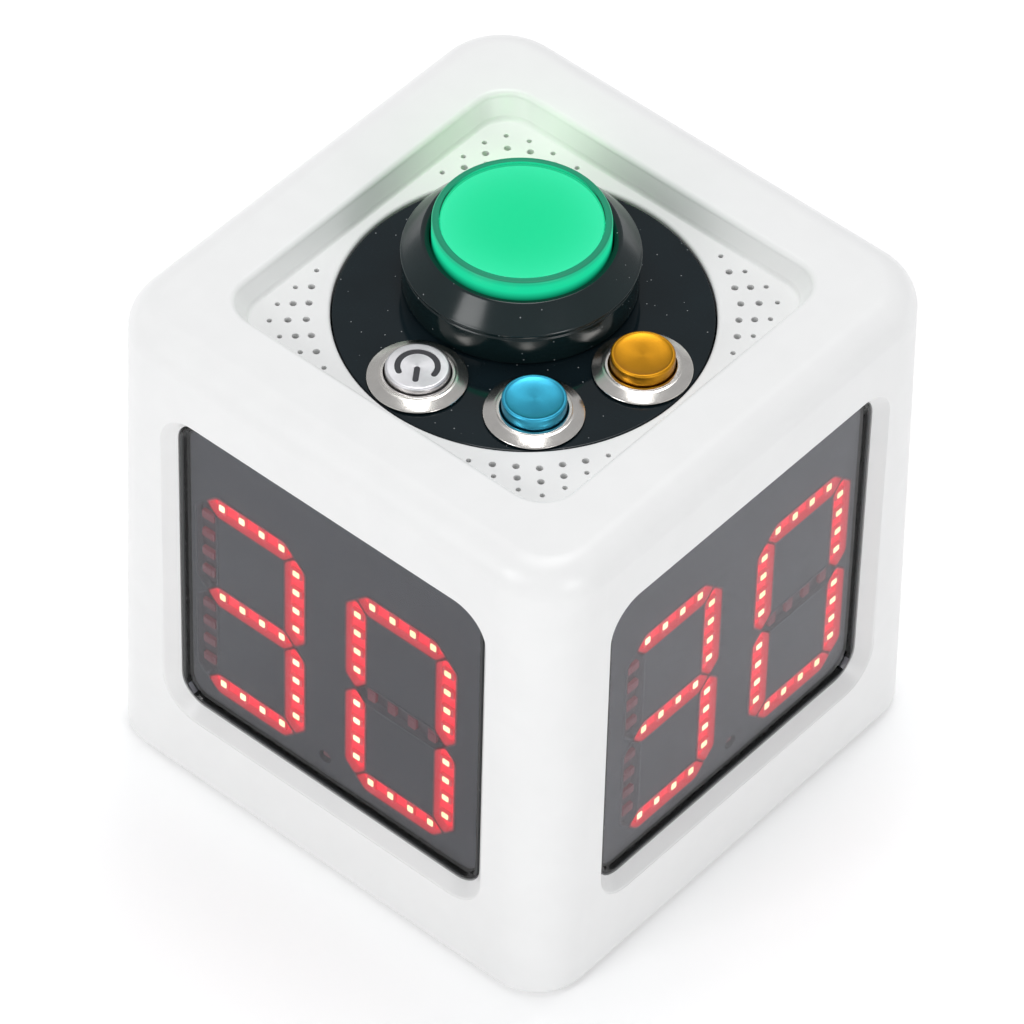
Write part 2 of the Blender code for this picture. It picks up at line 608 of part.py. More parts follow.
def make_display(side):
    """The black face of the number display and the circuit board behind it."""
    corner = OPENING_RADIUS - PANE_SKIRT - FIT_GAP
    face_back = DISPLAY_FRONT + DISPLAY_THICKNESS
    face = lofted("display_face_" + side, [(-face_back, DISPLAY_HALF, corner),
                                           (-DISPLAY_FRONT, DISPLAY_HALF, corner)], REFLECTOR)
    board = block("display_board_" + side, (2 * DISPLAY_HALF, 2 * DISPLAY_HALF, BOARD_THICKNESS),
                  BOARD, corner=BOARD_CORNER)
    board.matrix_world = to_face(side) @ Matrix.Translation((0, 0, -BOARD_FRONT - BOARD_THICKNESS / 2))
    plug = block("board_plug_" + side, BOARD_PLUG, None)
    plug.matrix_world = to_face(side) @ Matrix.Translation(
        (0, 2 * BOARD_PLUG[1] - DISPLAY_HALF, -BOARD_FRONT - BOARD_THICKNESS - BOARD_PLUG[2] / 2 + FIT_GAP))
    join(board, plug)
    face.matrix_world = to_face(side)


# ---- control panel ----------------------------------------------------------------

def button_place(steps):
    """Axis of a small button, at the panel's top; steps is -1, 0 or 1 along the row."""
    angle = DIAGONAL + steps * BUTTON_SPREAD
    return Vector((BUTTON_CIRCLE_RADIUS * math.cos(angle), BUTTON_CIRCLE_RADIUS * math.sin(angle), PANEL_TOP))


DOME_PLACE = Vector((-DOME_OFFSET * math.cos(DIAGONAL), -DOME_OFFSET * math.sin(DIAGONAL), PANEL_TOP))
SMALL_BUTTONS = (("power", -1, SILVER, POWER_CAP_HEIGHT), ("blue", 0, BLUE, CAP_HEIGHT),
                 ("gold", 1, GOLD, CAP_HEIGHT))


def make_panel():
    plug_radius = PANEL_HOLE_RADIUS - FIT_GAP
    flange_radius = PANEL_HOLE_RADIUS + PANEL_FLANGE
    panel = turned("control_panel", [
        (0, PANEL_TOP), (plug_radius, PANEL_TOP),
        (plug_radius, TRAY_UNDERSIDE - FIT_GAP), (flange_radius, TRAY_UNDERSIDE - FIT_GAP),
        (flange_radius, PANEL_BOTTOM), (0, PANEL_BOTTOM)], BLACK, sides=BIG_ROUND)
    below = -PANEL_THICKNESS - FIT_GAP
    cut(panel, rod("dome_hole", DOME_BARREL_RADIUS + FIT_GAP, below, FIT_GAP, None, DOME_PLACE, BIG_ROUND))
    for name, steps, finish, height in SMALL_BUTTONS:
        cut(panel, rod(name + "_hole", BARREL_RADIUS + FIT_GAP, below, FIT_GAP, None, button_place(steps)))


# ---- small metal buttons ------------------------------------------------------------

def make_nut(name, circle, bore, thickness, place, sides):
    """A nut tightened up under the panel."""
    top = -PANEL_THICKNESS - FIT_GAP
    nut = rod(name, circle, top - thickness, top, NICKEL, place, sides)
    cut(nut, rod(name + "_bore", bore, top - thickness - FIT_GAP, top + FIT_GAP, None, place, SMALL_ROUND))


def make_spring(name, coil_radius, wire_radius, turns, low, high, place):
    """A compression spring as one bent wire."""
    curve = bpy.data.curves.new(name, "CURVE")
    curve.dimensions = "3D"
    curve.bevel_depth = wire_radius
    curve.bevel_resolution = 0
    curve.use_fill_caps = True
    steps = turns * 8
    line = curve.splines.new("POLY")
    line.points.add(steps)
    span = high - low - 2 * wire_radius
    for step in range(steps + 1):
        angle = 2 * math.pi * turns * step / steps
        height = low + wire_radius + span * step / steps
        line.points[step].co = (coil_radius * math.cos(angle), coil_radius * math.sin(angle), height, 1)
    curve.materials.append(STEEL)
    spring = bpy.data.objects.new(name, curve)
    spring.location = place
    parts.objects.link(spring)


def make_small_button(name, steps, finish, height):
    place = button_place(steps)
    seat = FIT_GAP
    floor = -BUTTON_DEPTH + BUTTON_FLOOR
    turned(name + "_button_body", [
        (BUTTON_BORE_RADIUS + 0.0001, FLANGE_TOP), (FLANGE_LAND_RADIUS, FLANGE_TOP),
        (FLANGE_RADIUS, seat + 0.0003), (FLANGE_RADIUS - 0.0001, seat), (BARREL_RADIUS, seat),
        (BARREL_RADIUS, -BUTTON_DEPTH), (STEM_RADIUS / 2, -BUTTON_DEPTH), (STEM_RADIUS / 2, floor),
        (BUTTON_BORE_RADIUS, floor), (BUTTON_BORE_RADIUS, FLANGE_TOP - 0.0003)], NICKEL, place)
    stem_end = floor + CAP_TRAVEL + FIT_GAP
    cap = turned(name + "_button_cap", [
        (0, height - CAP_DISH), (CAP_RADIUS * 0.6, height - CAP_DISH),
        (CAP_RADIUS * 0.86, height - CAP_DISH / 2),
        (CAP_RADIUS * 0.92, height), (CAP_RADIUS * 0.96, height), (CAP_RADIUS, height - 0.0003),
        (CAP_RADIUS, -CAP_SKIRT), (STEM_RADIUS, -CAP_SKIRT),
        (STEM_RADIUS, stem_end), (0, stem_end)], finish, place)
    make_spring(name + "_button_spring", CAP_RADIUS - SPRING_INSET, SPRING_WIRE_RADIUS, SPRING_TURNS,
                floor + FIT_GAP, -CAP_SKIRT - FIT_GAP, place)
    make_nut(name + "_button_nut", NUT_RADIUS, BARREL_RADIUS + FIT_GAP, NUT_THICKNESS, place, 6)
    block_top = -BUTTON_DEPTH - FIT_GAP
    terminals = rod(name + "_button_terminals", BARREL_RADIUS - TERMINAL_INSET,
                    block_top - TERMINAL_HEIGHT, block_top, DARK_PLASTIC, place, 16)
    for side in (-1, 1):
        join(terminals, block(name + "_pin_%d" % side, PIN_SIZE, None, place + Vector(
            (side * PIN_SPREAD, 0, block_top - TERMINAL_HEIGHT + FIT_GAP - PIN_SIZE[2] / 2))))
    return cap


def icon_shape(name, stroke, low, high, place, finish):
    """The power mark as an upright solid: an open ring with a bar in its gap."""
    shape = bmesh.new()
    inner, outer = ICON_RADIUS - stroke / 2, ICON_RADIUS + stroke / 2
    gap = ICON_GAP - (stroke - ICON_STROKE) / 2 / ICON_RADIUS
    rings = []
    for step in range(ICON_STEPS + 1):
        angle = ICON_TURN + gap + (2 * math.pi - 2 * gap) * step / ICON_STEPS
        rings.append([shape.verts.new((radius * math.cos(angle), radius * math.sin(angle), height))
                      for radius, height in ((inner, low), (outer, low), (outer, high), (inner, high))])
    for here, there in zip(rings, rings[1:]):
        for i in range(4):
            j = (i + 1) % 4
            shape.faces.new((here[i], here[j], there[j], there[i]))
    shape.faces.new(rings[0])
    shape.faces.new(rings[-1])
    bar_length = ICON_BAR_LENGTH + stroke - ICON_STROKE
    middle = Matrix.Rotation(ICON_TURN, 4, "Z") @ Matrix.Translation(
        (ICON_BAR_MIDDLE, 0, (low + high) / 2)) @ Matrix.Diagonal((bar_length, stroke, high - low, 1))
    bmesh.ops.create_cube(shape, size=1.0, matrix=middle)
    return add(name, mesh_of(name, shape), finish, place)


def make_power_icon(cap):
    """A dark insert whose mark shows through slots in the cap, held by a disc below."""
    place = button_place(-1)
    top = POWER_CAP_HEIGHT - 0.0002
    shelf = POWER_CAP_HEIGHT - ICON_DEPTH
    disc_radius = CAP_RADIUS - 0.001
    icon = rod("power_icon", disc_radius - FIT_GAP, shelf - ICON_DISC, shelf - FIT_GAP, ICON, place, 20)
    join(icon, icon_shape("icon_mark", ICON_STROKE, shelf - 0.0006, top, place, None))
    cut(cap, icon_shape("icon_slots", ICON_STROKE + 2 * ICON_SLACK, shelf - FIT_GAP,
                        POWER_CAP_HEIGHT + FIT_GAP, place, None))
    cut(cap, rod("icon_pocket", disc_radius, shelf - ICON_DISC - FIT_GAP, shelf, None, place, 20))


# ---- large lit button ------------------------------------------------------------------

def make_dome():
    place = DOME_PLACE
    seat = FIT_GAP
    side_radius = DOME_RIM_RADIUS - DOME_SIDE_STEP
    floor_top = -DOME_BARREL_DEPTH + BUTTON_FLOOR
    turned("dome_housing", [
        (WELL_RADIUS + 0.0004, DOME_LIP_HEIGHT - 0.0002), (DOME_LIP_RADIUS - 0.0003, DOME_LIP_HEIGHT),
        (DOME_LIP_RADIUS, DOME_LIP_HEIGHT - 0.0002), (DOME_RIM_RADIUS - 0.0004, DOME_RIM_HEIGHT),
        (DOME_RIM_RADIUS, DOME_RIM_HEIGHT - 0.0004), (DOME_RIM_RADIUS, DOME_RIM_HEIGHT - 0.0009),
        (side_radius, DOME_RIM_HEIGHT - 0.001), (side_radius, seat), (DOME_BARREL_RADIUS, seat),
        (DOME_BARREL_RADIUS, -DOME_BARREL_DEPTH), (TIP_RADIUS + FIT_GAP, -DOME_BARREL_DEPTH),
        (TIP_RADIUS + FIT_GAP, floor_top), (DOME_BORE_RADIUS, floor_top),
        (DOME_BORE_RADIUS, WELL_FLOOR), (WELL_RADIUS, WELL_FLOOR),
        (WELL_RADIUS, DOME_LIP_HEIGHT - 0.001)], BLACK, place, BIG_ROUND)
    make_nut("dome_nut", DOME_NUT_RADIUS, DOME_BARREL_RADIUS + FIT_GAP, DOME_NUT_THICKNESS, place, 12)

    lens_inner = LENS_RADIUS - LENS_SKIN
    turned("dome_lens", [
        (0, LENS_HEIGHT), (LENS_RADIUS - 0.0012, LENS_HEIGHT), (LENS_RADIUS - 0.0004, LENS_HEIGHT - 0.0003),
        (LENS_RADIUS, LENS_HEIGHT - 0.001), (LENS_RADIUS, LENS_BOTTOM), (lens_inner, LENS_BOTTOM),
        (lens_inner, LENS_HEIGHT - LENS_SKIN), (0, LENS_HEIGHT - LENS_SKIN)], LENS, place, BIG_ROUND)

    diffuser_top = LENS_HEIGHT - LENS_SKIN - FIT_GAP
    diffuser_radius = lens_inner - FIT_GAP
    turned("dome_diffuser", [
        (0, diffuser_top), (diffuser_radius - 0.0006, diffuser_top),
        (diffuser_radius, diffuser_top - 0.0006), (diffuser_radius, LENS_BOTTOM),
        (diffuser_radius - DIFFUSER_WALL, LENS_BOTTOM),
        (diffuser_radius - DIFFUSER_WALL, diffuser_top - DIFFUSER_WALL),
        (0, diffuser_top - DIFFUSER_WALL)], DIFFUSER, place, BIG_ROUND)

    flange_top = LENS_BOTTOM - FIT_GAP
    flange_bottom = WELL_FLOOR + DOME_TRAVEL + FIT_GAP / 3
    tube_radius = DOME_BORE_RADIUS - FIT_GAP
    plate_bottom = -PLUNGER_PLATE_DEPTH
    plate_top = plate_bottom + PLUNGER_PLATE
    tube_inner = tube_radius - PLUNGER_WALL
    turned("dome_plunger", [
        (tube_inner, flange_top), (LENS_RADIUS - FIT_GAP, flange_top),
        (LENS_RADIUS - FIT_GAP, flange_bottom), (tube_radius, flange_bottom),
        (tube_radius, plate_bottom), (TIP_RADIUS, plate_bottom),
        (TIP_RADIUS, -DOME_BARREL_DEPTH - FIT_GAP), (PLUNGER_BORE, -DOME_BARREL_DEPTH - FIT_GAP),
        (PLUNGER_BORE, plate_top), (tube_inner, plate_top)], WHITE, place, SMALL_ROUND)
    make_spring("dome_spring", (TIP_RADIUS + tube_inner) / 2, DOME_SPRING_WIRE_RADIUS, DOME_SPRING_TURNS,
                floor_top + FIT_GAP, plate_bottom - FIT_GAP, place)

    lamp_top = plate_top + FIT_GAP + LAMP_BOARD
    lamp = rod("dome_lamp", tube_inner - FIT_GAP, plate_top + FIT_GAP, lamp_top, BOARD, place)
    for index in range(4):
        offset = Matrix.Rotation(index * math.pi / 2, 3, "Z") @ Vector((LAMP_CHIP_RADIUS, 0, lamp_top))
        join(lamp, block("lamp_chip_%d" % index, LAMP_CHIP, None, place + offset))

    make_dome_switch(place)


def make_dome_switch(place):
    """Snap switch on a bracket under the barrel, its button under the plunger's tip."""
    tip = -DOME_BARREL_DEPTH - FIT_GAP
    button_top = tip - FIT_GAP
    body_top = button_top - DOME_TRAVEL - FIT_GAP
    bore = SWITCH_BUTTON_RADIUS + FIT_GAP
    button_bottom = body_top - SWITCH_BUTTON_HIDDEN
    bore_bottom = button_bottom - DOME_TRAVEL - 2 * FIT_GAP
    switch_height = SWITCH_SIZE[2]
    rod("switch_button", SWITCH_BUTTON_RADIUS, button_bottom, button_top, RUBBER, place, 16)
    body = block("dome_switch", SWITCH_SIZE, DARK_PLASTIC,
                 place + Vector((0, 0, body_top - switch_height / 2)))
    for side in (-1, 1):
        join(body, block("switch_pin_%d" % side, SWITCH_PIN_SIZE, None, place + Vector(
            (side * SWITCH_PIN_SPREAD, 0, body_top - switch_height + FIT_GAP - SWITCH_PIN_SIZE[2] / 2))))
    cut(body, rod("switch_bore", bore, bore_bottom, body_top + FIT_GAP, None, place, 16))
    bracket_top = -DOME_BARREL_DEPTH - FIT_GAP
    bracket = rod("switch_bracket", DOME_BARREL_RADIUS, bracket_top - BRACKET_THICKNESS, bracket_top,
                  DARK_PLASTIC, place)
    cut(bracket, rod("bracket_hole", TIP_RADIUS + BRACKET_THICKNESS, bracket_top - 2 * BRACKET_THICKNESS,
                     bracket_top + FIT_GAP, None, place))
    arm_height = bracket_top - body_top + switch_height / 2
    for side in (-1, 1):
        sideways = side * (SWITCH_SIZE[1] / 2 + FIT_GAP + BRACKET_ARM[1] / 2)
        join(bracket, block("bracket_arm_%d" % side, (*BRACKET_ARM, arm_height), None,
                            place + Vector((0, sideways, bracket_top - FIT_GAP - arm_height / 2))))


# ---- electronics inside ------------------------------------------------------------------

def make_electronics():
    board = block("main_board", (2 * MAIN_BOARD_HALF, MAIN_BOARD_LENGTH, BOARD_THICKNESS), BOARD,
                  (0, MAIN_BOARD_MIDDLE, (MAIN_BOARD_BOTTOM + MAIN_BOARD_TOP) / 2), corner=BOARD_CORNER)
    for index, (width, length, height, x, y) in enumerate(BOARD_CHIPS):
        join(board, block("board_chip_%d" % index, (width, length, height + FIT_GAP), None,
                          (x, MAIN_BOARD_MIDDLE + y, MAIN_BOARD_TOP + (height - FIT_GAP) / 2)))
    foot = MAIN_BOARD_TOP + FIT_GAP
    hole_floor = foot + BUZZER_HEIGHT - 2 * BUZZER_BORE
    turned("buzzer", [
        (0, hole_floor), (BUZZER_BORE, hole_floor),
        (BUZZER_BORE, foot + BUZZER_HEIGHT), (BUZZER_RADIUS, foot + BUZZER_HEIGHT),
        (BUZZER_RADIUS, foot), (0, foot)], DARK_PLASTIC, (BUZZER_X, MAIN_BOARD_MIDDLE + BUZZER_Y, 0))
    make_battery()


def make_battery():
    """A single cell lying in an open tray on the base cover."""
    tray_bottom = COVER_TOP + FIT_GAP
    axis_height = tray_bottom + HOLDER_WALL + FIT_GAP + BATTERY_RADIUS
    cell = turned("battery_cell", [
        (0, BATTERY_LENGTH / 2 + BATTERY_CAP), (BATTERY_CAP_RADIUS, BATTERY_LENGTH / 2 + BATTERY_CAP),
        (BATTERY_CAP_RADIUS, BATTERY_LENGTH / 2), (BATTERY_RADIUS - 0.0006, BATTERY_LENGTH / 2),
        (BATTERY_RADIUS, BATTERY_LENGTH / 2 - 0.0006), (BATTERY_RADIUS, -BATTERY_LENGTH / 2),
        (0, -BATTERY_LENGTH / 2)], CELL, (0, BATTERY_Y, axis_height), 24)
    cell.rotation_euler = (0, math.pi / 2, 0)
    length = BATTERY_LENGTH + 2 * (BATTERY_CAP + HOLDER_WALL + FIT_GAP)
    width = 2 * (BATTERY_RADIUS + HOLDER_WALL + FIT_GAP)
    height = axis_height + BATTERY_RADIUS / 2 - tray_bottom
    holder = block("battery_holder", (length, width, height), DARK_PLASTIC,
                   (0, BATTERY_Y, tray_bottom + height / 2))
    cut(holder, block("holder_hollow", (length - 2 * HOLDER_WALL, width - 2 * HOLDER_WALL, height),
                      None, (0, BATTERY_Y, tray_bottom + height / 2 + HOLDER_WALL)))


# ---- build ---------------------------------------------------------------------------------

make_case()
make_port()
make_base()
for side in SIDES:
    make_window(side)
    make_display(side)
make_panel()
for name, steps, finish, height in SMALL_BUTTONS:
    cap = make_small_button(name, steps, finish, height)
    if name == "power":
        make_power_icon(cap)
make_dome()
make_electronics()
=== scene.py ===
"""Looks of the cube game clock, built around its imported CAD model.
Metres, +Z up. The front of the clock faces -Y, its right side +X."""

import json
import math

import bmesh
import bpy
from mathutils import Matrix, Vector


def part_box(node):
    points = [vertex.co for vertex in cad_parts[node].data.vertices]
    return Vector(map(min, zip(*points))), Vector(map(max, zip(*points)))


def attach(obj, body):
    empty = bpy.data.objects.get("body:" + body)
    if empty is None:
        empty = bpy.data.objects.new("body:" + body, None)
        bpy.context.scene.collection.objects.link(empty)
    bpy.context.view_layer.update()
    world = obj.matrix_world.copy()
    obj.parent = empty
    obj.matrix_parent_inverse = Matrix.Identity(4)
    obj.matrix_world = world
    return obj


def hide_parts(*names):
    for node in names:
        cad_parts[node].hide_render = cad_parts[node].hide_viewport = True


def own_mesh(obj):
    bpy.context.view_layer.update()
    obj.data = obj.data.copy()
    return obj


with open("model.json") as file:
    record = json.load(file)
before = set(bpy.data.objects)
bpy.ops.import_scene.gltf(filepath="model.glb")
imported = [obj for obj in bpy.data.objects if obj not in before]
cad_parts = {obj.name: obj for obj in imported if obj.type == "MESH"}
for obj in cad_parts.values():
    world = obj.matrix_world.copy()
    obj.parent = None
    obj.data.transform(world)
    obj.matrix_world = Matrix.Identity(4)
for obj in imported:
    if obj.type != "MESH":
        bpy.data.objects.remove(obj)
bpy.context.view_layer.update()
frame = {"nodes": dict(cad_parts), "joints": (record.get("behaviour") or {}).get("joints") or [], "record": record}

# ---- sizes and places, read from the CAD nodes where they show there -----------------------------

FIT_GAP = 0.0003
SIDES = ("front", "right", "back", "left")
CORNERS = ("front_left", "front_right", "back_right", "back_left")
BUTTONS = ("power", "blue", "gold")
NODE_BODY = {node: body for body, nodes in frame["record"]["behaviour"]["bodies"].items() for node in nodes}
NODE_SLOT = {part["node"]: part["material_slot"] for part in frame["record"]["subparts"]}

case_low, case_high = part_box("case")
panel_low, panel_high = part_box("control_panel")

CASE_HALF = case_high.x
CASE_BOTTOM = case_low.z
CASE_TOP = case_high.z
CASE_HEIGHT = CASE_TOP - CASE_BOTTOM
CASE_MIDDLE = (CASE_TOP + CASE_BOTTOM) / 2
CASE_WALL = 0.004
CASE_DRAFT = 0.00025
FACE_HALF = CASE_HALF - CASE_DRAFT / 2
CORNER_RADIUS_FOOT = 0.0105
CORNER_RADIUS_TOP = 0.0138
TOP_EDGE_RADIUS = 0.006
BOTTOM_EDGE_RADIUS = 0.0005
RIM_SKIN = 0.003

PANEL_TOP = panel_high.z
PANEL_HOLE_RADIUS = panel_high.x - 0.0022
PANEL_HOLE_EDGE_RADIUS = 0.0006
PANEL_SINK = 0.0005
TRAY_FLOOR = PANEL_TOP + PANEL_SINK
TRAY_FLOOR_THICKNESS = 0.0026
TRAY_UNDERSIDE = TRAY_FLOOR - TRAY_FLOOR_THICKNESS
TRAY_HALF_WIDTH = PANEL_HOLE_RADIUS + 0.0048
TRAY_LEAN = 0.0012
TRAY_EDGE_RADIUS = 0.0012
TRAY_CORNER_RADIUS = 0.0066

VENT_SMALL_RADIUS = 0.00046
VENT_LARGE_RADIUS = 0.00064
VENT_PITCH = 0.0040
VENT_ROWS = 3
VENT_REACH = 0.0037
VENT_ROW_PITCH = 0.00275
VENT_CREST = 0.00047

WINDOW_HALF = 0.0378
WINDOW_BEVEL = 0.0022
WINDOW_DEPTH = 0.0023
WINDOW_CORNER_RADIUS = 0.0076
WINDOW_EDGE_RADIUS = 0.0005
OPENING_HALF = WINDOW_HALF - WINDOW_BEVEL
OPENING_RADIUS = WINDOW_CORNER_RADIUS - WINDOW_BEVEL
PANE_HALF = OPENING_HALF - FIT_GAP
PANE_LIP_WIDTH = 0.0009
PANE_FRONT = WINDOW_DEPTH + 0.0006
PANE_SKIN = 0.0008
PANE_SKIRT = 0.001
DISPLAY_HALF = PANE_HALF - PANE_SKIRT - FIT_GAP
DISPLAY_FRONT = PANE_FRONT + PANE_SKIN + FIT_GAP
DISPLAY_THICKNESS = 0.006

# LED digits, on the display's face: right and up from the window's centre
DIGIT_PITCH = 0.0353
DISPLAY_SHIFT = {"front": -0.0021, "right": 0.0018, "back": -0.0021, "left": 0.0018}
DIGIT_DROP = -0.0057
COLUMN_OFFSET = 0.01045
ROW_OFFSET = 0.0228
SEGMENT_HALF_WIDTH = 0.0021
SEGMENT_GAP = 0.00045
SEGMENT_ROUND = 0.0009
SLOT_DEPTH = 0.0012
LEDS_PER_SEGMENT = 4
LED_PITCH = 0.0047
LED_BODY = (0.0028, 0.0018, 0.0007)
LED_EMITTER = (0.0015, 0.0013)
POINT_RADIUS = 0.0014
# segment name: (across, up) of its middle in column and row offsets, and whether it stands upright
SEGMENTS = {
    "top": (0, 1, False), "middle": (0, 0, False), "bottom": (0, -1, False),
    "upper_left": (-1, 0.5, True), "upper_right": (1, 0.5, True),
    "lower_left": (-1, -0.5, True), "lower_right": (1, -0.5, True),
}
LIT = (
    ("top", "middle", "bottom", "upper_right", "lower_right"),
    ("top", "bottom", "upper_left", "upper_right", "lower_left", "lower_right"),
)

# power mark: an open ring, half its gap's angle, and the bar's two ends
ICON_RADIUS = 0.0035
ICON_STROKE = 0.0011
ICON_GAP = math.radians(61)
ICON_BAR = (0.00065, 0.00335)
ICON_TURN = math.radians(-55)
ICON_SINK = 0.00025

# springs: wire radius and turns
SPRING_SHAPE = {"dome_spring": (0.0005, 5)}
SMALL_SPRING_SHAPE = (0.00025, 4)

ROUND = 128
CORNER_STEPS = 14

CAMERA_AZIMUTH = 39.84
CAMERA_ELEVATION = 46.38
CAMERA_ROLL = 1.61
CAMERA_DISTANCE = 1.3953
CAMERA_TARGET = Vector((-0.000775, -0.000775, 0.05104))
CAMERA_LENS = 274.05

WORLD_STRENGTH = 0.49
FLOOR_GLOW = 0.16
SPILL_POWER = 0.0024
SPILL_COLOUR = (0.30, 1.0, 0.30)
SPILL_RADIUS = 0.004
SPILL_OFFSET = Vector((-0.017, 0.017, 0.012))


# ---- materials -----------------------------------------------------------------------------------

def principled(name, colour, roughness, metallic=0.0):
    """A Principled material and its node tree; the constants are on the shader's sockets."""
    material = bpy.data.materials.new(name)
    material.use_nodes = True
    tree = material.node_tree
    shader = tree.nodes["Principled BSDF"]
    shader.inputs["Base Color"].default_value = (*colour, 1.0)
    shader.inputs["Roughness"].default_value = roughness
    shader.inputs["Metallic"].default_value = metallic
    return material, tree, shader


def noise(tree, scale, detail=3.0):
    """Noise over the piece's own coordinates, per metre."""
    coordinates = tree.nodes.new("ShaderNodeTexCoord")
    texture = tree.nodes.new("ShaderNodeTexNoise")
    texture.inputs["Scale"].default_value = scale
    texture.inputs["Detail"].default_value = detail
    tree.links.new(coordinates.outputs["Object"], texture.inputs["Vector"])
    return texture.outputs["Fac"]


def remap(tree, value, low, high, to_low, to_high):
    node = tree.nodes.new("ShaderNodeMapRange")
    settings = (("From Min", low), ("From Max", high), ("To Min", to_low), ("To Max", to_high))
    for socket, number in settings:
        node.inputs[socket].default_value = number
    tree.links.new(value, node.inputs["Value"])
    return node.outputs["Result"]


def blend_colours(tree, factor, first, second):
    node = tree.nodes.new("ShaderNodeMix")
    node.data_type = "RGBA"
    tree.links.new(factor, node.inputs["Factor"])
    for socket, colour in ((6, first), (7, second)):
        if isinstance(colour, tuple):
            node.inputs[socket].default_value = (*colour, 1.0)
        else:
            tree.links.new(colour, node.inputs[socket])
    return node.outputs[2]


def add_bump(tree, shader, height, strength, distance):
    node = tree.nodes.new("ShaderNodeBump")
    node.inputs["Strength"].default_value = strength
    node.inputs["Distance"].default_value = distance
    tree.links.new(height, node.inputs["Height"])
    tree.links.new(node.outputs["Normal"], shader.inputs["Normal"])


def plastic(name, colour, roughness, shift=0.04, grain=1800, bump=0.08, metallic=0.0):
    """Moulded or plated stuff: mottled colour, uneven gloss and a fine grain."""
    material, tree, shader = principled(name, colour, roughness, metallic)
    mottle = remap(tree, noise(tree, 140), 0.3, 0.7, 0.0, 1.0)
    darker = tuple(part * (1 - shift) for part in colour)
    tree.links.new(blend_colours(tree, mottle, darker, colour), shader.inputs["Base Color"])
    uneven = remap(tree, noise(tree, 420), 0.3, 0.7, roughness * 0.85, roughness * 1.15)
    tree.links.new(uneven, shader.inputs["Roughness"])
    add_bump(tree, shader, noise(tree, grain), bump, 0.00005)
    return material


def specks(tree, pitch, size, share):
    """Small round specks: each about size across, in a share of the cells of a pitch."""
    coordinates = tree.nodes.new("ShaderNodeTexCoord")
    cells = tree.nodes.new("ShaderNodeTexVoronoi")
    cells.inputs["Scale"].default_value = 1 / pitch
    tree.links.new(coordinates.outputs["Object"], cells.inputs["Vector"])
    reach = size / 2 / pitch
    near = remap(tree, cells.outputs["Distance"], reach * 0.6, reach, 1.0, 0.0)
    colour = tree.nodes.new("ShaderNodeSeparateColor")
    tree.links.new(cells.outputs["Color"], colour.inputs["Color"])
    chosen = remap(tree, colour.outputs["Red"], 1 - share - 0.02, 1 - share, 0.0, 1.0)
    both = tree.nodes.new("ShaderNodeMath")
    both.operation = "MULTIPLY"
    tree.links.new(near, both.inputs[0])
    tree.links.new(chosen, both.inputs[1])
    return both.outputs["Value"]


def black_gloss(name, colour, roughness, shine, dust=0.45, wave=0.06):
    """Polished black plastic that shows a little dust, faint smears and moulding waves."""
    material, tree, shader = principled(name, colour, roughness)
    shader.inputs["Specular IOR Level"].default_value = shine
    dots = remap(tree, specks(tree, 0.0016, 0.00030, dust), 0.0, 1.0, 0.0, 0.55)
    patches = remap(tree, noise(tree, 90), 0.35, 0.65, 0.0, 1.0)
    tinted = blend_colours(tree, patches, colour, tuple(part * 1.25 for part in colour))
    tree.links.new(blend_colours(tree, dots, tinted, (0.50, 0.52, 0.53)), shader.inputs["Base Color"])
    tree.links.new(remap(tree, patches, 0.0, 1.0, roughness, roughness * 1.6), shader.inputs["Roughness"])
    add_bump(tree, shader, noise(tree, 260), wave, 0.00008)
    return material


def turned_metal(name, colour, roughness, anisotropy=0.75):
    """Lathe-turned metal: fine circular marks, so its shine fans out from the axis."""
    material, tree, shader = principled(name, colour, roughness, 1.0)
    shader.inputs["Anisotropic"].default_value = anisotropy
    tangent = tree.nodes.new("ShaderNodeTangent")
    tangent.direction_type = "RADIAL"
    tangent.axis = "Z"
    tree.links.new(tangent.outputs["Tangent"], shader.inputs["Tangent"])
    coordinates = tree.nodes.new("ShaderNodeTexCoord")
    rings = tree.nodes.new("ShaderNodeTexWave")
    rings.wave_type = "RINGS"
    rings.rings_direction = "Z"
    rings.inputs["Scale"].default_value = 1600
    rings.inputs["Distortion"].default_value = 1.5
    tree.links.new(coordinates.outputs["Object"], rings.inputs["Vector"])
    marks = rings.outputs["Fac"]
    tree.links.new(remap(tree, marks, 0.0, 1.0, roughness * 0.8, roughness * 1.3), shader.inputs["Roughness"])
    worn = remap(tree, noise(tree, 350), 0.3, 0.7, 0.0, 1.0)
    tree.links.new(blend_colours(tree, worn, tuple(part * 0.88 for part in colour), colour),
                   shader.inputs["Base Color"])
    add_bump(tree, shader, marks, 0.05, 0.00002)
    return material


def clear_tinted(name, colour, roughness, ior):
    """Clear moulding with faint flow marks."""
    material, tree, shader = principled(name, colour, roughness)
    shader.inputs["Transmission Weight"].default_value = 1.0
    shader.inputs["IOR"].default_value = ior
    tree.links.new(remap(tree, noise(tree, 300), 0.3, 0.7, roughness, roughness * 2),
                   shader.inputs["Roughness"])
    tree.links.new(blend_colours(tree, noise(tree, 60), tuple(part * 0.95 for part in colour), colour),
                   shader.inputs["Base Color"])
    add_bump(tree, shader, noise(tree, 220), 0.02, 0.00005)
    return material


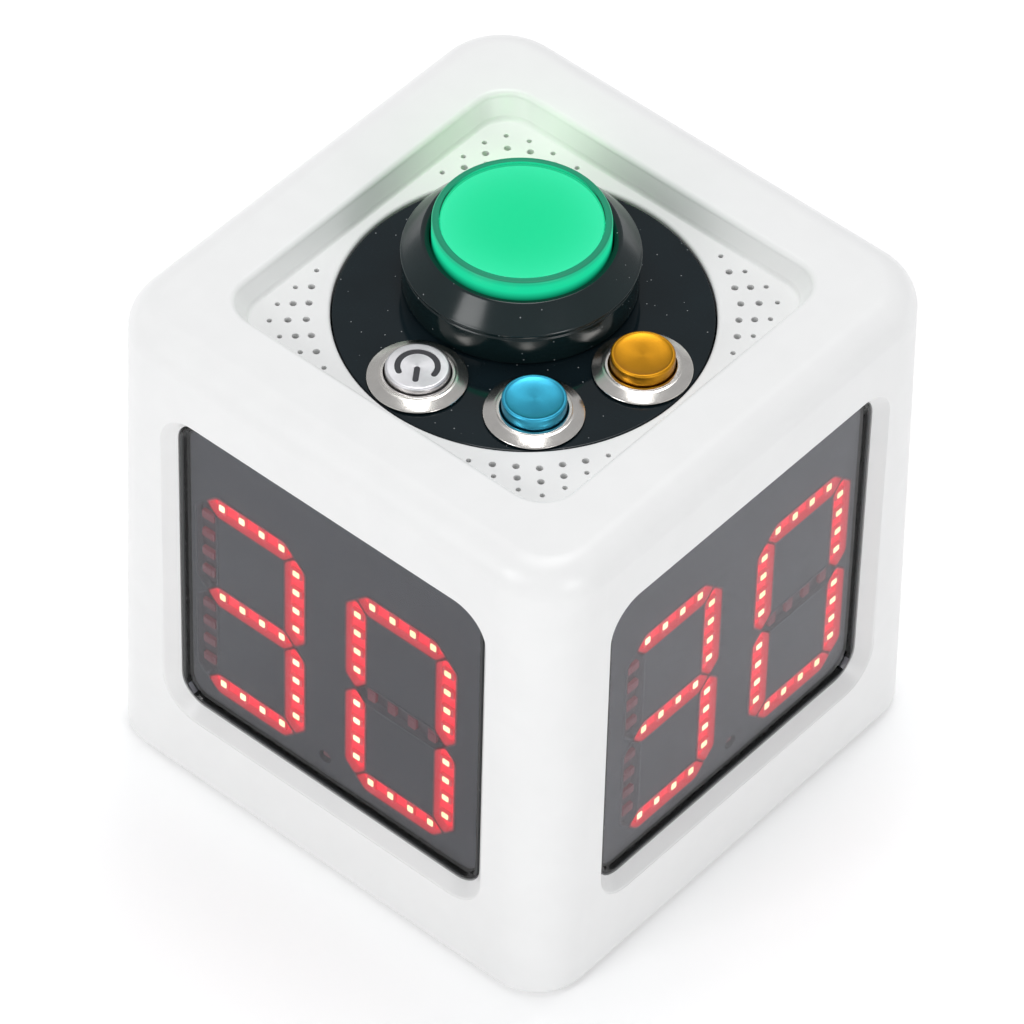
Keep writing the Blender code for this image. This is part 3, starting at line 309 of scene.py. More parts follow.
def glowing(name, base, dim, bright, strength, attribute=None, shine=0.5):
    """A surface that gives off light, for a lamp or as painted light where there is none. Its glow runs from dim
    to bright by a mesh attribute, or by soft noise.
    """
    material, tree, shader = principled(name, base, 0.4)
    shader.inputs["Specular IOR Level"].default_value = shine
    if attribute:
        source = tree.nodes.new("ShaderNodeAttribute")
        source.attribute_name = attribute
        amount = source.outputs["Fac"]
    else:
        amount = remap(tree, noise(tree, 30, 1.0), 0.3, 0.7, 0.0, 1.0)
    tree.links.new(blend_colours(tree, amount, dim, bright), shader.inputs["Emission Color"])
    shader.inputs["Emission Strength"].default_value = strength
    return material


WHITE = plastic("white_plastic", (0.84, 0.84, 0.835), 0.34, shift=0.02)
BLACK = black_gloss("black_gloss", (0.0050, 0.0105, 0.0135), 0.07, 0.30)
HOUSING = black_gloss("dome_black", (0.0040, 0.0115, 0.0125), 0.12, 0.45, wave=0.16)
EDGE_BLACK = black_gloss("pane_edge", (0.006, 0.007, 0.008), 0.12, 0.4, dust=0.05)
SMOKE = clear_tinted("smoked_pane", (0.71, 0.72, 0.77), 0.015, 1.29)
FACE = plastic("display_black", (0.043, 0.046, 0.051), 0.45, shift=0.12, bump=0.15)
BOARD = plastic("circuit_board", (0.02, 0.16, 0.06), 0.45, shift=0.25, grain=900)
RED_GLOW = glowing("segment_lit", (0.05, 0.03, 0.034), (0.0, 0.0, 0.0), (1.0, 0.010, 0.030), 1.6, "glow")
# Unlit segments: a faint red painted reflection of the lit LEDs, as glow.
RED_PAINTED_REFLECTION = glowing("segment_unlit_painted_reflection", (0.052, 0.054, 0.060), (0.0, 0.0, 0.0), (0.012, 0.001, 0.002),
                    1.0, "glow")
EMITTER = glowing("emitter_lit", (0.9, 0.7, 0.4), (1.0, 0.62, 0.26), (1.0, 0.86, 0.50), 2.0)
LED_SHELL = glowing("led_body_lit", (0.5, 0.1, 0.1), (0.42, 0.006, 0.018), (0.70, 0.012, 0.03), 1.0)
# Unlit LED bodies glow a faint red: a painted reflection of the lit LEDs.
LED_UNLIT_PAINTED_REFLECTION = glowing("led_body_unlit_painted_reflection", (0.10, 0.06, 0.06), (0.06, 0.001, 0.004), (0.16, 0.004, 0.012), 1.0)
LENS_CLEAR = clear_tinted("lens_clear", (0.78, 0.99, 0.93), 0.02, 1.28)
# The lens wall's glow is painted light: the lamp's light through the green wall, faint on the ring's top.
LENS_WALL = glowing("lens_wall", (0.008, 0.08, 0.055), (0.0, 0.004, 0.002), (0.004, 0.80, 0.38),
                    1.0, "glow", shine=0.3)
GREEN_GLOW = glowing("diffuser_lit", (0.006, 0.06, 0.035), (0.003, 0.74, 0.335), (0.040, 0.86, 0.45),
                     1.0, "glow", shine=0.05)
NICKEL = turned_metal("nickel", (0.80, 0.77, 0.73), 0.17, 0.8)
STEEL = turned_metal("steel", (0.55, 0.55, 0.56), 0.30)
SILVER = turned_metal("silver_cap", (0.88, 0.87, 0.89), 0.40, 0.3)
BLUE = turned_metal("blue_cap", (0.060, 0.46, 0.68), 0.36, 0.3)
GOLD = turned_metal("gold_cap", (0.74, 0.335, 0.020), 0.36, 0.3)
MARK = plastic("icon_insert", (0.035, 0.035, 0.042), 0.4)
RUBBER = plastic("foot_rubber", (0.03, 0.03, 0.03), 0.8, shift=0.2, bump=0.4)
DARK = plastic("dark_plastic", (0.03, 0.03, 0.032), 0.45, shift=0.15)
CELL = plastic("battery_wrap", (0.05, 0.25, 0.55), 0.35, shift=0.1)

SLOT_MATERIAL = {
    "white_plastic": WHITE, "black_gloss": BLACK, "smoked_pane": SMOKE, "display_face": FACE,
    "circuit_board": BOARD, "green_lens": LENS_CLEAR, "diffuser": GREEN_GLOW, "nickel": NICKEL,
    "silver_cap": SILVER, "blue_cap": BLUE, "gold_cap": GOLD, "icon_insert": MARK, "steel": STEEL,
    "foot_rubber": RUBBER, "dark_plastic": DARK, "battery_wrap": CELL,
}


# ---- mesh helpers --------------------------------------------------------------------------------

def put(name, shape, *finishes, at=None):
    """Makes a piece from a bmesh, smooth but for its sharp edges."""
    bmesh.ops.recalc_face_normals(shape, faces=shape.faces)
    mesh = bpy.data.meshes.new(name)
    shape.to_mesh(mesh)
    shape.free()
    for finish in finishes:
        mesh.materials.append(finish)
    mesh.shade_smooth()
    mesh.set_sharp_from_angle(angle=math.radians(32))
    piece = bpy.data.objects.new(name, mesh)
    bpy.context.scene.collection.objects.link(piece)
    if at is not None:
        piece.matrix_world = at
    return piece


def stands_for(piece, *nodes):
    """The piece takes the nodes' body, and is shown in their place."""
    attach(piece, NODE_BODY[nodes[0]])
    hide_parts(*nodes)
    return piece


def belongs(piece, node):
    """An extra piece that goes with a node, which stays shown or is replaced elsewhere."""
    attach(piece, NODE_BODY[node])
    return piece


def soften(points, radius, closed=True, steps=4):
    """Rounds the corners of an outline; a corner's round is limited by its shorter side."""
    result = []
    count = len(points)
    for i, here in enumerate(points):
        if not closed and i in (0, count - 1):
            result.append(Vector(here))
            continue
        here = Vector(here)
        before, after = Vector(points[i - 1]) - here, Vector(points[(i + 1) % count]) - here
        reach = min(radius, before.length * 0.45, after.length * 0.45)
        start, end = here + before.normalized() * reach, here + after.normalized() * reach
        for step in range(steps + 1):
            t = step / steps
            result.append(start * (1 - t) ** 2 + here * 2 * t * (1 - t) + end * t ** 2)
    return result


def turned(name, profile, place, *finishes, radius=0.0002, steps=ROUND, choose=None, glow_at=None):
    """Spins a softened (radius, height) profile about Z. choose gives a face's finish, and
    glow_at the glow of a point by its radius and height."""
    on_axis = profile[0][0] == 0
    outline = soften(profile, radius, closed=not on_axis)
    shape = bmesh.new()
    glow = shape.verts.layers.float.new("glow") if glow_at else None
    rings = []
    for r, height in outline:
        if r < 1e-7:
            rings.append([shape.verts.new((0, 0, height))])
        else:
            rings.append([shape.verts.new((r * math.cos(2 * math.pi * i / steps),
                                           r * math.sin(2 * math.pi * i / steps), height))
                          for i in range(steps)])
        if glow_at:
            for vert in rings[-1]:
                vert[glow] = glow_at(r, height)
    pairs = list(zip(rings, rings[1:]))
    if not on_axis:
        pairs.append((rings[-1], rings[0]))
    for first, second in pairs:
        for i in range(steps):
            j = (i + 1) % steps
            corners = [first[i % len(first)], first[j % len(first)], second[j % len(second)],
                       second[i % len(second)]]
            face = shape.faces.new(list(dict.fromkeys(corners)))
            if choose:
                face.material_index = choose(face.calc_center_median())
    return put(name, shape, *finishes, at=Matrix.Translation(place))


def rounded_square(half, radius):
    """Points of a rounded square, anticlockwise."""
    points = []
    for corner in range(4):
        diagonal = (corner + 0.5) * math.pi / 2
        middle_x = math.copysign(half - radius, math.cos(diagonal))
        middle_y = math.copysign(half - radius, math.sin(diagonal))
        for step in range(CORNER_STEPS + 1):
            angle = (corner + step / CORNER_STEPS) * math.pi / 2
            points.append((middle_x + radius * math.cos(angle), middle_y + radius * math.sin(angle)))
    return points


def lofted(name, sections, *finishes, at=None, choose=None):
    """Closed solid through rounded squares, each (height, half width, corner radius)."""
    shape = bmesh.new()
    rings = [[shape.verts.new((x, y, height)) for x, y in rounded_square(half, radius)]
             for height, half, radius in sections]
    faces = [shape.faces.new(rings[0]), shape.faces.new(rings[-1])]
    for lower, upper in zip(rings, rings[1:]):
        for i in range(len(lower)):
            j = (i + 1) % len(lower)
            faces.append(shape.faces.new((lower[i], lower[j], upper[j], upper[i])))
    if choose:
        for face in faces:
            face.material_index = choose(face.calc_center_median())
    return put(name, shape, *finishes, at=at)


def rod(name, radius, low, high, at, sides=48):
    shape = bmesh.new()
    bmesh.ops.create_cone(shape, cap_ends=True, segments=sides, radius1=radius, radius2=radius,
                          depth=high - low)
    bmesh.ops.translate(shape, vec=(0, 0, (low + high) / 2), verts=shape.verts)
    return put(name, shape, at=at)


def cut(piece, cutters):
    """Cuts the cutters from the piece for good, and removes them."""
    for cutter in cutters:
        step = piece.modifiers.new("cut", "BOOLEAN")
        step.operation = "DIFFERENCE"
        step.solver = "EXACT"
        step.object = cutter
    bpy.context.view_layer.update()
    seen = piece.evaluated_get(bpy.context.evaluated_depsgraph_get())
    mesh = bpy.data.meshes.new_from_object(seen)
    piece.modifiers.clear()
    piece.data = mesh
    for cutter in cutters:
        bpy.data.objects.remove(cutter)
    mesh.shade_smooth()
    mesh.set_sharp_from_angle(angle=math.radians(32))
    flat = piece.modifiers.new("flat_faces_stay_flat", "WEIGHTED_NORMAL")
    flat.keep_sharp = True
    return piece


def quarter(radius, steps, start, end):
    """(sideways, up) offsets along a round, from angle start to angle end in degrees."""
    for step in range(steps + 1):
        angle = math.radians(start + (end - start) * step / steps)
        yield radius * math.cos(angle), radius * math.sin(angle)


def to_face(side):
    """Places what is modelled flat, its front up, on one side of the case."""
    out_of_front = Matrix(((1, 0, 0), (0, 0, -1), (0, 1, 0))).to_4x4()
    turn = Matrix.Rotation(SIDES.index(side) * math.pi / 2, 4, "Z")
    return turn @ Matrix.Translation((0, -FACE_HALF, CASE_MIDDLE)) @ out_of_front


def axis_of(node, height=PANEL_TOP):
    low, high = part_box(node)
    return Vector(((low.x + high.x) / 2, (low.y + high.y) / 2, height))


# ---- case ----------------------------------------------------------------------------------------

def case_half(height):
    return CASE_HALF - CASE_DRAFT * (height - CASE_BOTTOM) / CASE_HEIGHT


def corner_radius(height):
    share = (height - CASE_BOTTOM) / CASE_HEIGHT
    return CORNER_RADIUS_FOOT + share * (CORNER_RADIUS_TOP - CORNER_RADIUS_FOOT)


def outer_sections():
    sections = []
    for side, up in quarter(BOTTOM_EDGE_RADIUS, 4, -90, 0):
        inset = BOTTOM_EDGE_RADIUS - side
        sections.append((CASE_BOTTOM + BOTTOM_EDGE_RADIUS + up, case_half(CASE_BOTTOM) - inset,
                         CORNER_RADIUS_FOOT - inset))
    shoulder = CASE_TOP - TOP_EDGE_RADIUS
    for side, up in quarter(TOP_EDGE_RADIUS, 14, 0, 90):
        inset = TOP_EDGE_RADIUS - side
        sections.append((shoulder + up, case_half(shoulder) - inset, corner_radius(shoulder) - inset))
    return sections


def hollow():
    """The inside of the case, up to its top skin and around the tray."""
    inner = CASE_HALF - CASE_WALL
    high = CASE_TOP - RIM_SKIN
    top_half = case_half(high) - CASE_WALL
    inside = lofted("case_hollow", [
        (CASE_BOTTOM - CASE_WALL, inner, CORNER_RADIUS_FOOT - CASE_WALL),
        (high - TOP_EDGE_RADIUS / 2, top_half, corner_radius(high) - CASE_WALL),
        (high, top_half - TOP_EDGE_RADIUS / 2, corner_radius(high) - CASE_WALL)])
    around = TRAY_HALF_WIDTH + RIM_SKIN / 2
    tray_block = lofted("tray_block", [
        (TRAY_UNDERSIDE, around, TRAY_CORNER_RADIUS + RIM_SKIN / 2),
        (CASE_TOP + CASE_WALL, around, TRAY_CORNER_RADIUS + RIM_SKIN / 2)])
    return cut(inside, [tray_block])


def tray_cutter():
    floor_half = TRAY_HALF_WIDTH - TRAY_EDGE_RADIUS - TRAY_LEAN
    sections = []
    for side, up in quarter(TRAY_EDGE_RADIUS, 8, -90, 0):
        sections.append((TRAY_FLOOR + TRAY_EDGE_RADIUS + up,
                         floor_half - TRAY_EDGE_RADIUS / 2 + side / 2, TRAY_CORNER_RADIUS))
    for side, up in quarter(TRAY_EDGE_RADIUS, 8, 180, 90):
        sections.append((CASE_TOP - TRAY_EDGE_RADIUS + up, TRAY_HALF_WIDTH + side,
                         TRAY_CORNER_RADIUS + TRAY_EDGE_RADIUS + side))
    sections.append((CASE_TOP + CASE_WALL, TRAY_HALF_WIDTH, TRAY_CORNER_RADIUS + TRAY_EDGE_RADIUS))
    return lofted("tray_cut", sections)


def vent_places():
    """(along the diagonal, across it, radius) of the vent holes of one corner."""
    for row in range(1, VENT_ROWS + 1):
        circle = PANEL_HOLE_RADIUS + VENT_REACH + (row - 1) * VENT_ROW_PITCH
        each_side = VENT_ROWS + 1 - row
        for step in range(-each_side, each_side + 1):
            across = step * VENT_PITCH
            along = math.sqrt(circle ** 2 - across ** 2) if step else circle + row * VENT_CREST
            small = abs(step) == each_side or row == VENT_ROWS
            yield along, across, VENT_SMALL_RADIUS if small else VENT_LARGE_RADIUS


def vent_cutter():
    """All the vent holes, each with a small countersink, as one cutter."""
    shape = bmesh.new()
    lead_in = 0.00007
    for corner in range(4):
        turn = Matrix.Rotation(math.radians(45 + 90 * corner), 4, "Z")
        for along, across, radius in vent_places():
            place = turn @ Matrix.Translation((along, across, TRAY_FLOOR))
            rings = []
            for height, r in ((-2 * TRAY_FLOOR_THICKNESS, radius), (-lead_in, radius),
                              (lead_in, radius + 2 * lead_in)):
                rings.append([shape.verts.new(place @ Vector(
                    (r * math.cos(math.pi * i / 8), r * math.sin(math.pi * i / 8), height)))
                    for i in range(16)])
            for lower, upper in zip(rings, rings[1:]):
                for i in range(16):
                    j = (i + 1) % 16
                    shape.faces.new((lower[i], lower[j], upper[j], upper[i]))
            shape.faces.new(rings[0])
            shape.faces.new(rings[-1])
    return put("vent_cut", shape)


def window_cutter(side):
    """A window: a bevel with a rounded brow, then straight through the wall."""
    slope = math.atan2(WINDOW_DEPTH, WINDOW_BEVEL)
    sections = [(-CASE_WALL * 1.5, OPENING_HALF, OPENING_RADIUS),
                (-WINDOW_DEPTH, OPENING_HALF, OPENING_RADIUS)]
    brow = WINDOW_EDGE_RADIUS
    tangent = brow * math.tan(slope / 2)
    for step in range(7):
        angle = slope * (1 - step / 6)
        out = tangent - brow * math.sin(angle)
        down = brow * (1 - math.cos(angle))
        sections.append((-down, WINDOW_HALF + out, WINDOW_CORNER_RADIUS + out))
    sections.append((CASE_WALL, WINDOW_HALF + tangent, WINDOW_CORNER_RADIUS + tangent))
    return lofted("window_cut_" + side, sections, at=to_face(side))


def port_cutter():
    low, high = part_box("charging_port")
    width, height = high.x - low.x + 2 * FIT_GAP, high.z - low.z + 2 * FIT_GAP
    outline = soften([(-width / 2, -height / 2), (width / 2, -height / 2), (width / 2, height / 2),
                      (-width / 2, height / 2)], height * 0.45, steps=8)
    shape = bmesh.new()
    middle = (low.z + high.z) / 2
    rings = [[shape.verts.new((x, y, middle + z)) for x, z in outline]
             for y in (CASE_HALF - 2 * CASE_WALL, CASE_HALF + CASE_WALL)]
    for i in range(len(outline)):
        j = (i + 1) % len(outline)
        shape.faces.new((rings[0][i], rings[0][j], rings[1][j], rings[1][i]))
    shape.faces.new(rings[0])
    shape.faces.new(rings[1])
    return put("port_cut", shape)


def make_case():
    case = lofted("case_shell", outer_sections(), WHITE)
    edge = PANEL_HOLE_EDGE_RADIUS
    round_edge = [(PANEL_HOLE_RADIUS + edge + side, TRAY_FLOOR - edge + up)
                  for side, up in quarter(edge, 6, 90, 180)]
    hole = turned("panel_hole", [(0, CASE_TOP), (PANEL_HOLE_RADIUS + edge, CASE_TOP)] + round_edge + [
        (PANEL_HOLE_RADIUS, TRAY_UNDERSIDE - FIT_GAP), (0, TRAY_UNDERSIDE - FIT_GAP)],
        (0, 0, 0), radius=0.000001, steps=192)
    cutters = [hollow(), tray_cutter(), hole, vent_cutter(), port_cutter()]
    cut(case, cutters + [window_cutter(side) for side in SIDES])
    stands_for(case, "case")


# ---- windows and displays ------------------------------------------------------------------------

def make_window(side):
    flange_back = CASE_WALL + CASE_DRAFT + FIT_GAP + 0.0012
    flange_front = CASE_WALL + CASE_DRAFT + FIT_GAP
    flange_half = OPENING_HALF + 0.0018
    lip = PANE_LIP_WIDTH
    corner = OPENING_RADIUS - FIT_GAP
    round_off = 0.0002
    skin_back = -PANE_FRONT - PANE_SKIN

    def is_edge(centre):
        inside = max(abs(centre.x), abs(centre.y)) < PANE_HALF - lip
        return 0 if inside and centre.z > skin_back - FIT_GAP else 1

    hollow_half = PANE_HALF - PANE_SKIRT
    hollow_corner = OPENING_RADIUS - PANE_SKIRT
    pane = lofted("pane_" + side, [
        (skin_back, hollow_half - lip, hollow_corner - lip),
        (skin_back, hollow_half, hollow_corner),
        (-flange_back, hollow_half, hollow_corner),
        (-flange_back, flange_half, OPENING_RADIUS),
        (-flange_front, flange_half, OPENING_RADIUS),
        (-flange_front, PANE_HALF, corner),
        (-WINDOW_DEPTH - round_off, PANE_HALF, corner),
        (-WINDOW_DEPTH, PANE_HALF - round_off, corner - round_off),
        (-WINDOW_DEPTH, PANE_HALF - lip + round_off, corner - lip + round_off),
        (-WINDOW_DEPTH - round_off, PANE_HALF - lip, corner - lip),
        (-PANE_FRONT, PANE_HALF - lip - FIT_GAP, corner - lip - FIT_GAP),
    ], SMOKE, EDGE_BLACK, at=to_face(side), choose=is_edge)
    stands_for(pane, "window_" + side)


def segment_outline(length, half_width):
    """A bar along X with mitred ends, its corners rounded."""
    half = length / 2
    return soften([(-half, 0), (-half + half_width, -half_width), (half - half_width, -half_width),
                   (half, 0), (half - half_width, half_width), (-half + half_width, half_width)],
                  SEGMENT_ROUND, steps=5)


def segment_places(side):
    """(digit, segment name, place on the display's face, length) of every segment."""
    for digit in range(len(LIT)):
        centre = DISPLAY_SHIFT[side] + (digit - 0.5) * DIGIT_PITCH
        for name, (across, up, upright) in SEGMENTS.items():
            spot = Vector((centre + across * COLUMN_OFFSET, DIGIT_DROP + up * ROW_OFFSET, 0))
            turn = Matrix.Rotation(math.pi / 2 if upright else 0, 4, "Z")
            length = (ROW_OFFSET if upright else 2 * COLUMN_OFFSET) - 2 * SEGMENT_GAP
            yield digit, name, Matrix.Translation(spot) @ turn, length


def extrude_outline(shape, outline, low, high, place):
    rings = [[shape.verts.new(place @ Vector((point[0], point[1], height))) for point in outline]
             for height in (low, high)]
    for i in range(len(outline)):
        j = (i + 1) % len(outline)
        shape.faces.new((rings[0][i], rings[0][j], rings[1][j], rings[1][i]))
    shape.faces.new(rings[0])
    shape.faces.new(rings[1])


def circle(radius, sides=24):
    return [(radius * math.cos(2 * math.pi * i / sides), radius * math.sin(2 * math.pi * i / sides))
            for i in range(sides)]


def point_place(side):
    return Matrix.Translation((DISPLAY_SHIFT[side], DIGIT_DROP - ROW_OFFSET - 0.0008, 0))


def glow_pads(name, wanted, finish, side):
    """The floors of the slots: soft pads whose glow fades towards the slot's wall, with a painted halo of light on
    the face around each slot.
    """
    shape = bmesh.new()
    glow = shape.verts.layers.float.new("glow")
    floor = -DISPLAY_FRONT - SLOT_DEPTH + 0.00005
    face = -DISPLAY_FRONT + 0.00005
    # (share of the slot's half width, glow, height): a painted halo of light on the face, then the slot's wall and
    # floor
    shares = ((1.30, 0.0, face), (1.16, 0.10, face), (0.995, 0.42, face), (0.985, 0.60, floor),
              (0.85, 0.85, floor), (0.6, 0.97, floor), (0.12, 1.0, floor))
    for digit, segment, place, length in segment_places(side):
        if (segment in LIT[digit]) != wanted:
            continue
        rings = []
        for share, amount, height in shares:
            inset = SEGMENT_HALF_WIDTH * (1 - share)
            outline = segment_outline(length - 2 * inset * 1.3, SEGMENT_HALF_WIDTH - inset)
            ring = [shape.verts.new(place @ Vector((x, y, height))) for x, y in outline]
            for vert in ring:
                vert[glow] = amount
            rings.append(ring)
        for outer, inner in zip(rings, rings[1:]):
            for i in range(len(outer)):
                j = (i + 1) % len(outer)
                shape.faces.new((outer[i], outer[j], inner[j], inner[i]))
        shape.faces.new(rings[-1])
    for face in shape.faces:
        if face.normal.z < 0:
            face.normal_flip()
    mesh = bpy.data.meshes.new(name)
    shape.to_mesh(mesh)
    shape.free()
    mesh.materials.append(finish)
    mesh.shade_smooth()
    pads = bpy.data.objects.new(name, mesh)
    bpy.context.scene.collection.objects.link(pads)
    pads.matrix_world = to_face(side)
    solid = pads.modifiers.new("thickness", "SOLIDIFY")
    solid.thickness = 0.0001
    solid.offset = -1
    belongs(pads, "display_face_" + side)


def led_packages(name, wanted, shell, side):
    """The small lamps in each segment, lying across it, with an emitter window on top."""
    shape = bmesh.new()
    across, along, height = LED_BODY
    base = -DISPLAY_FRONT - SLOT_DEPTH + 0.0002
    outline = soften([(-along / 2, -across / 2), (along / 2, -across / 2), (along / 2, across / 2),
                      (-along / 2, across / 2)], 0.0002, steps=2)
    window = soften([(-LED_EMITTER[1] / 2, -LED_EMITTER[0] / 2), (LED_EMITTER[1] / 2, -LED_EMITTER[0] / 2),
                     (LED_EMITTER[1] / 2, LED_EMITTER[0] / 2), (-LED_EMITTER[1] / 2, LED_EMITTER[0] / 2)],
                    0.0003, steps=3)
    for digit, segment, place, length in segment_places(side):
        if (segment in LIT[digit]) != wanted:
            continue
        for index in range(LEDS_PER_SEGMENT):
            offset = (index - (LEDS_PER_SEGMENT - 1) / 2) * LED_PITCH
            spot = place @ Matrix.Translation((offset, 0, 0))
            extrude_outline(shape, outline, base, base + height, spot)
            count = len(shape.faces)
            extrude_outline(shape, window, base + height - 0.0001, base + height + 0.00008, spot)
            shape.faces.ensure_lookup_table()
            for face in shape.faces[count:]:
                face.material_index = 1
    lamps = put(name, shape, shell, EMITTER if wanted else shell, at=to_face(side))
    belongs(lamps, "display_face_" + side)


def make_display(side):
    corner = OPENING_RADIUS - PANE_SKIRT - FIT_GAP
    front = -DISPLAY_FRONT
    edge = 0.0002
    face = lofted("display_" + side, [
        (front - DISPLAY_THICKNESS, DISPLAY_HALF, corner), (front - edge, DISPLAY_HALF, corner),
        (front, DISPLAY_HALF - edge, corner - edge)], FACE, at=to_face(side))
    slots = bmesh.new()
    for digit, segment, place, length in segment_places(side):
        extrude_outline(slots, segment_outline(length, SEGMENT_HALF_WIDTH), front - SLOT_DEPTH,
                        front + edge, place)
    extrude_outline(slots, circle(POINT_RADIUS), front - SLOT_DEPTH, front + edge, point_place(side))
    cut(face, [put("slot_cut_" + side, slots, at=to_face(side))])
    stands_for(face, "display_face_" + side)
    glow_pads("segments_lit_" + side, True, RED_GLOW, side)
    # The unlit segments' faint glow is a painted reflection of the lit LEDs.
    glow_pads("segments_unlit_" + side, False, RED_PAINTED_REFLECTION, side)
    led_packages("leds_lit_" + side, True, LED_SHELL, side)
    # Unlit LEDs: faint red painted reflection.
    led_packages("leds_unlit_" + side, False, LED_UNLIT_PAINTED_REFLECTION, side)
    # The decimal point's chip, with the same faint red painted reflection.
    point = bmesh.new()
    chip_outline = [(-0.0009, -0.0005), (0.0009, -0.0005), (0.0009, 0.0005), (-0.0009, 0.0005)]
    extrude_outline(point, soften(chip_outline,
                                  0.0002, steps=2),
                    front - SLOT_DEPTH + 0.0001, front - SLOT_DEPTH / 2, point_place(side))
    belongs(put("decimal_led_" + side, point, LED_UNLIT_PAINTED_REFLECTION, at=to_face(side)), "display_face_" + side)


# ---- panel and buttons ---------------------------------------------------------------------------

def make_panel():
    plug = PANEL_HOLE_RADIUS - FIT_GAP
    shelf = TRAY_UNDERSIDE - FIT_GAP
    panel = turned("panel_disc", [
        (0, PANEL_TOP), (plug, PANEL_TOP), (plug, shelf), (panel_high.x, shelf),
        (panel_high.x, panel_low.z), (0, panel_low.z)], (0, 0, 0), BLACK, radius=0.00035, steps=192)
    holes = []
    for node in ["dome_housing"] + [name + "_button_body" for name in BUTTONS]:
        holes.append(rod(node + "_hole", BARREL[node] + FIT_GAP, panel_low.z - FIT_GAP, PANEL_TOP + FIT_GAP,
                         Matrix.Translation(axis_of(node, 0)), 64))
    cut(panel, holes)
    stands_for(panel, "control_panel")


def barrel_radius(node, overhang):
    low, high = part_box(node)
    return (high.x - low.x) / 2 - overhang


BARREL = {name + "_button_body": barrel_radius(name + "_button_body", 0.001) for name in BUTTONS}
BARREL["dome_housing"] = barrel_radius("dome_housing", 0.0072)


def make_small_button(name, finish):
    node = name + "_button_body"
    low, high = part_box(node)
    place = axis_of(node)
    top, bottom = high.z - PANEL_TOP, low.z - PANEL_TOP
    flange = (high.x - low.x) / 2
    barrel = BARREL[node]
    cap_low, cap_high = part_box(name + "_button_cap")
    cap = (cap_high.x - cap_low.x) / 2
    bore = cap + FIT_GAP
    land = bore + 0.0006
    floor = bottom + 0.0015
    body = turned("flange_" + name, [
        (bore, top - 0.00004), (bore + 0.00012, top), (land, top), (land + 0.00008, top - 0.00022),
        (land + 0.0005, top - 0.00030), (flange - 0.00012, FIT_GAP + 0.00035),
        (flange, FIT_GAP + 0.0002), (flange - 0.0001, FIT_GAP), (barrel, FIT_GAP), (barrel, bottom),
        (0.001, bottom), (0.001, floor), (bore, floor)], place, NICKEL, radius=0.00008)
    stands_for(body, node)

    height = cap_high.z - PANEL_TOP
    skirt = -0.003
    stem = 0.002
    stem_end = cap_low.z - PANEL_TOP
    dish = 0.0005
    if name == "power":
        top_profile = [(0, height), (cap - 0.0003, height)]
    else:
        dish_steps = 9
        angles = [math.pi / 2 * step / dish_steps for step in range(dish_steps + 1)]
        top_profile = [(cap * 0.9 * math.sin(angle), height - dish * math.cos(angle)) for angle in angles]
        top_profile.append((cap - 0.00025, height))
    piece = turned("cap_" + name, top_profile + [
        (cap, height - 0.0003), (cap, skirt), (stem, skirt), (stem, stem_end), (0, stem_end)],
        place, finish, radius=0.00025)
    if name == "power":
        cut(piece, [icon_solid("icon_cut", ICON_STROKE, height - ICON_SINK, height + FIT_GAP, place)])
    stands_for(piece, name + "_button_cap")


def stroke_outline(path, width):
    """The outline of a thick line along path, with round ends."""
    half = width / 2
    left, right = [], []
    for i, point in enumerate(path):
        ahead = path[min(i + 1, len(path) - 1)]
        behind = path[max(i - 1, 0)]
        along = (ahead - behind).normalized()
        normal = Vector((-along.y, along.x))
        left.append(point + normal * half)
        right.append(point - normal * half)

    def cap_round(centre, start):
        base = math.atan2(start.y - centre.y, start.x - centre.x)
        angles = [base - math.pi * step / 8 for step in range(1, 8)]
        return [centre + Vector((half * math.cos(angle), half * math.sin(angle))) for angle in angles]

    return left + cap_round(path[-1], left[-1]) + right[::-1] + cap_round(path[0], right[0])


def icon_solid(name, stroke, low, high, place, *finishes):
    """The power mark: an open ring with a bar in its gap."""
    shape = bmesh.new()
    steps = 40
    ring = [Vector((ICON_RADIUS * math.cos(angle), ICON_RADIUS * math.sin(angle)))
            for angle in (ICON_TURN + ICON_GAP + (2 * math.pi - 2 * ICON_GAP) * step / steps
                          for step in range(steps + 1))]
    direction = Vector((math.cos(ICON_TURN), math.sin(ICON_TURN)))
    bar = [direction * out for out in ICON_BAR]
    for path in (ring, bar):
        extrude_outline(shape, stroke_outline(path, stroke), low, high, Matrix())
    return put(name, shape, *finishes, at=Matrix.Translation(place))


def make_power_icon():
    cap_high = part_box("power_button_cap")[1]
    height = cap_high.z - PANEL_TOP
    icon = icon_solid("icon_inlay", ICON_STROKE - 0.00006, height - ICON_SINK + 0.00002, height - 0.00010,
                      axis_of("power_button_cap"), MARK)
    stands_for(icon, "power_icon")


# ---- large lit button ----------------------------------------------------------------------------

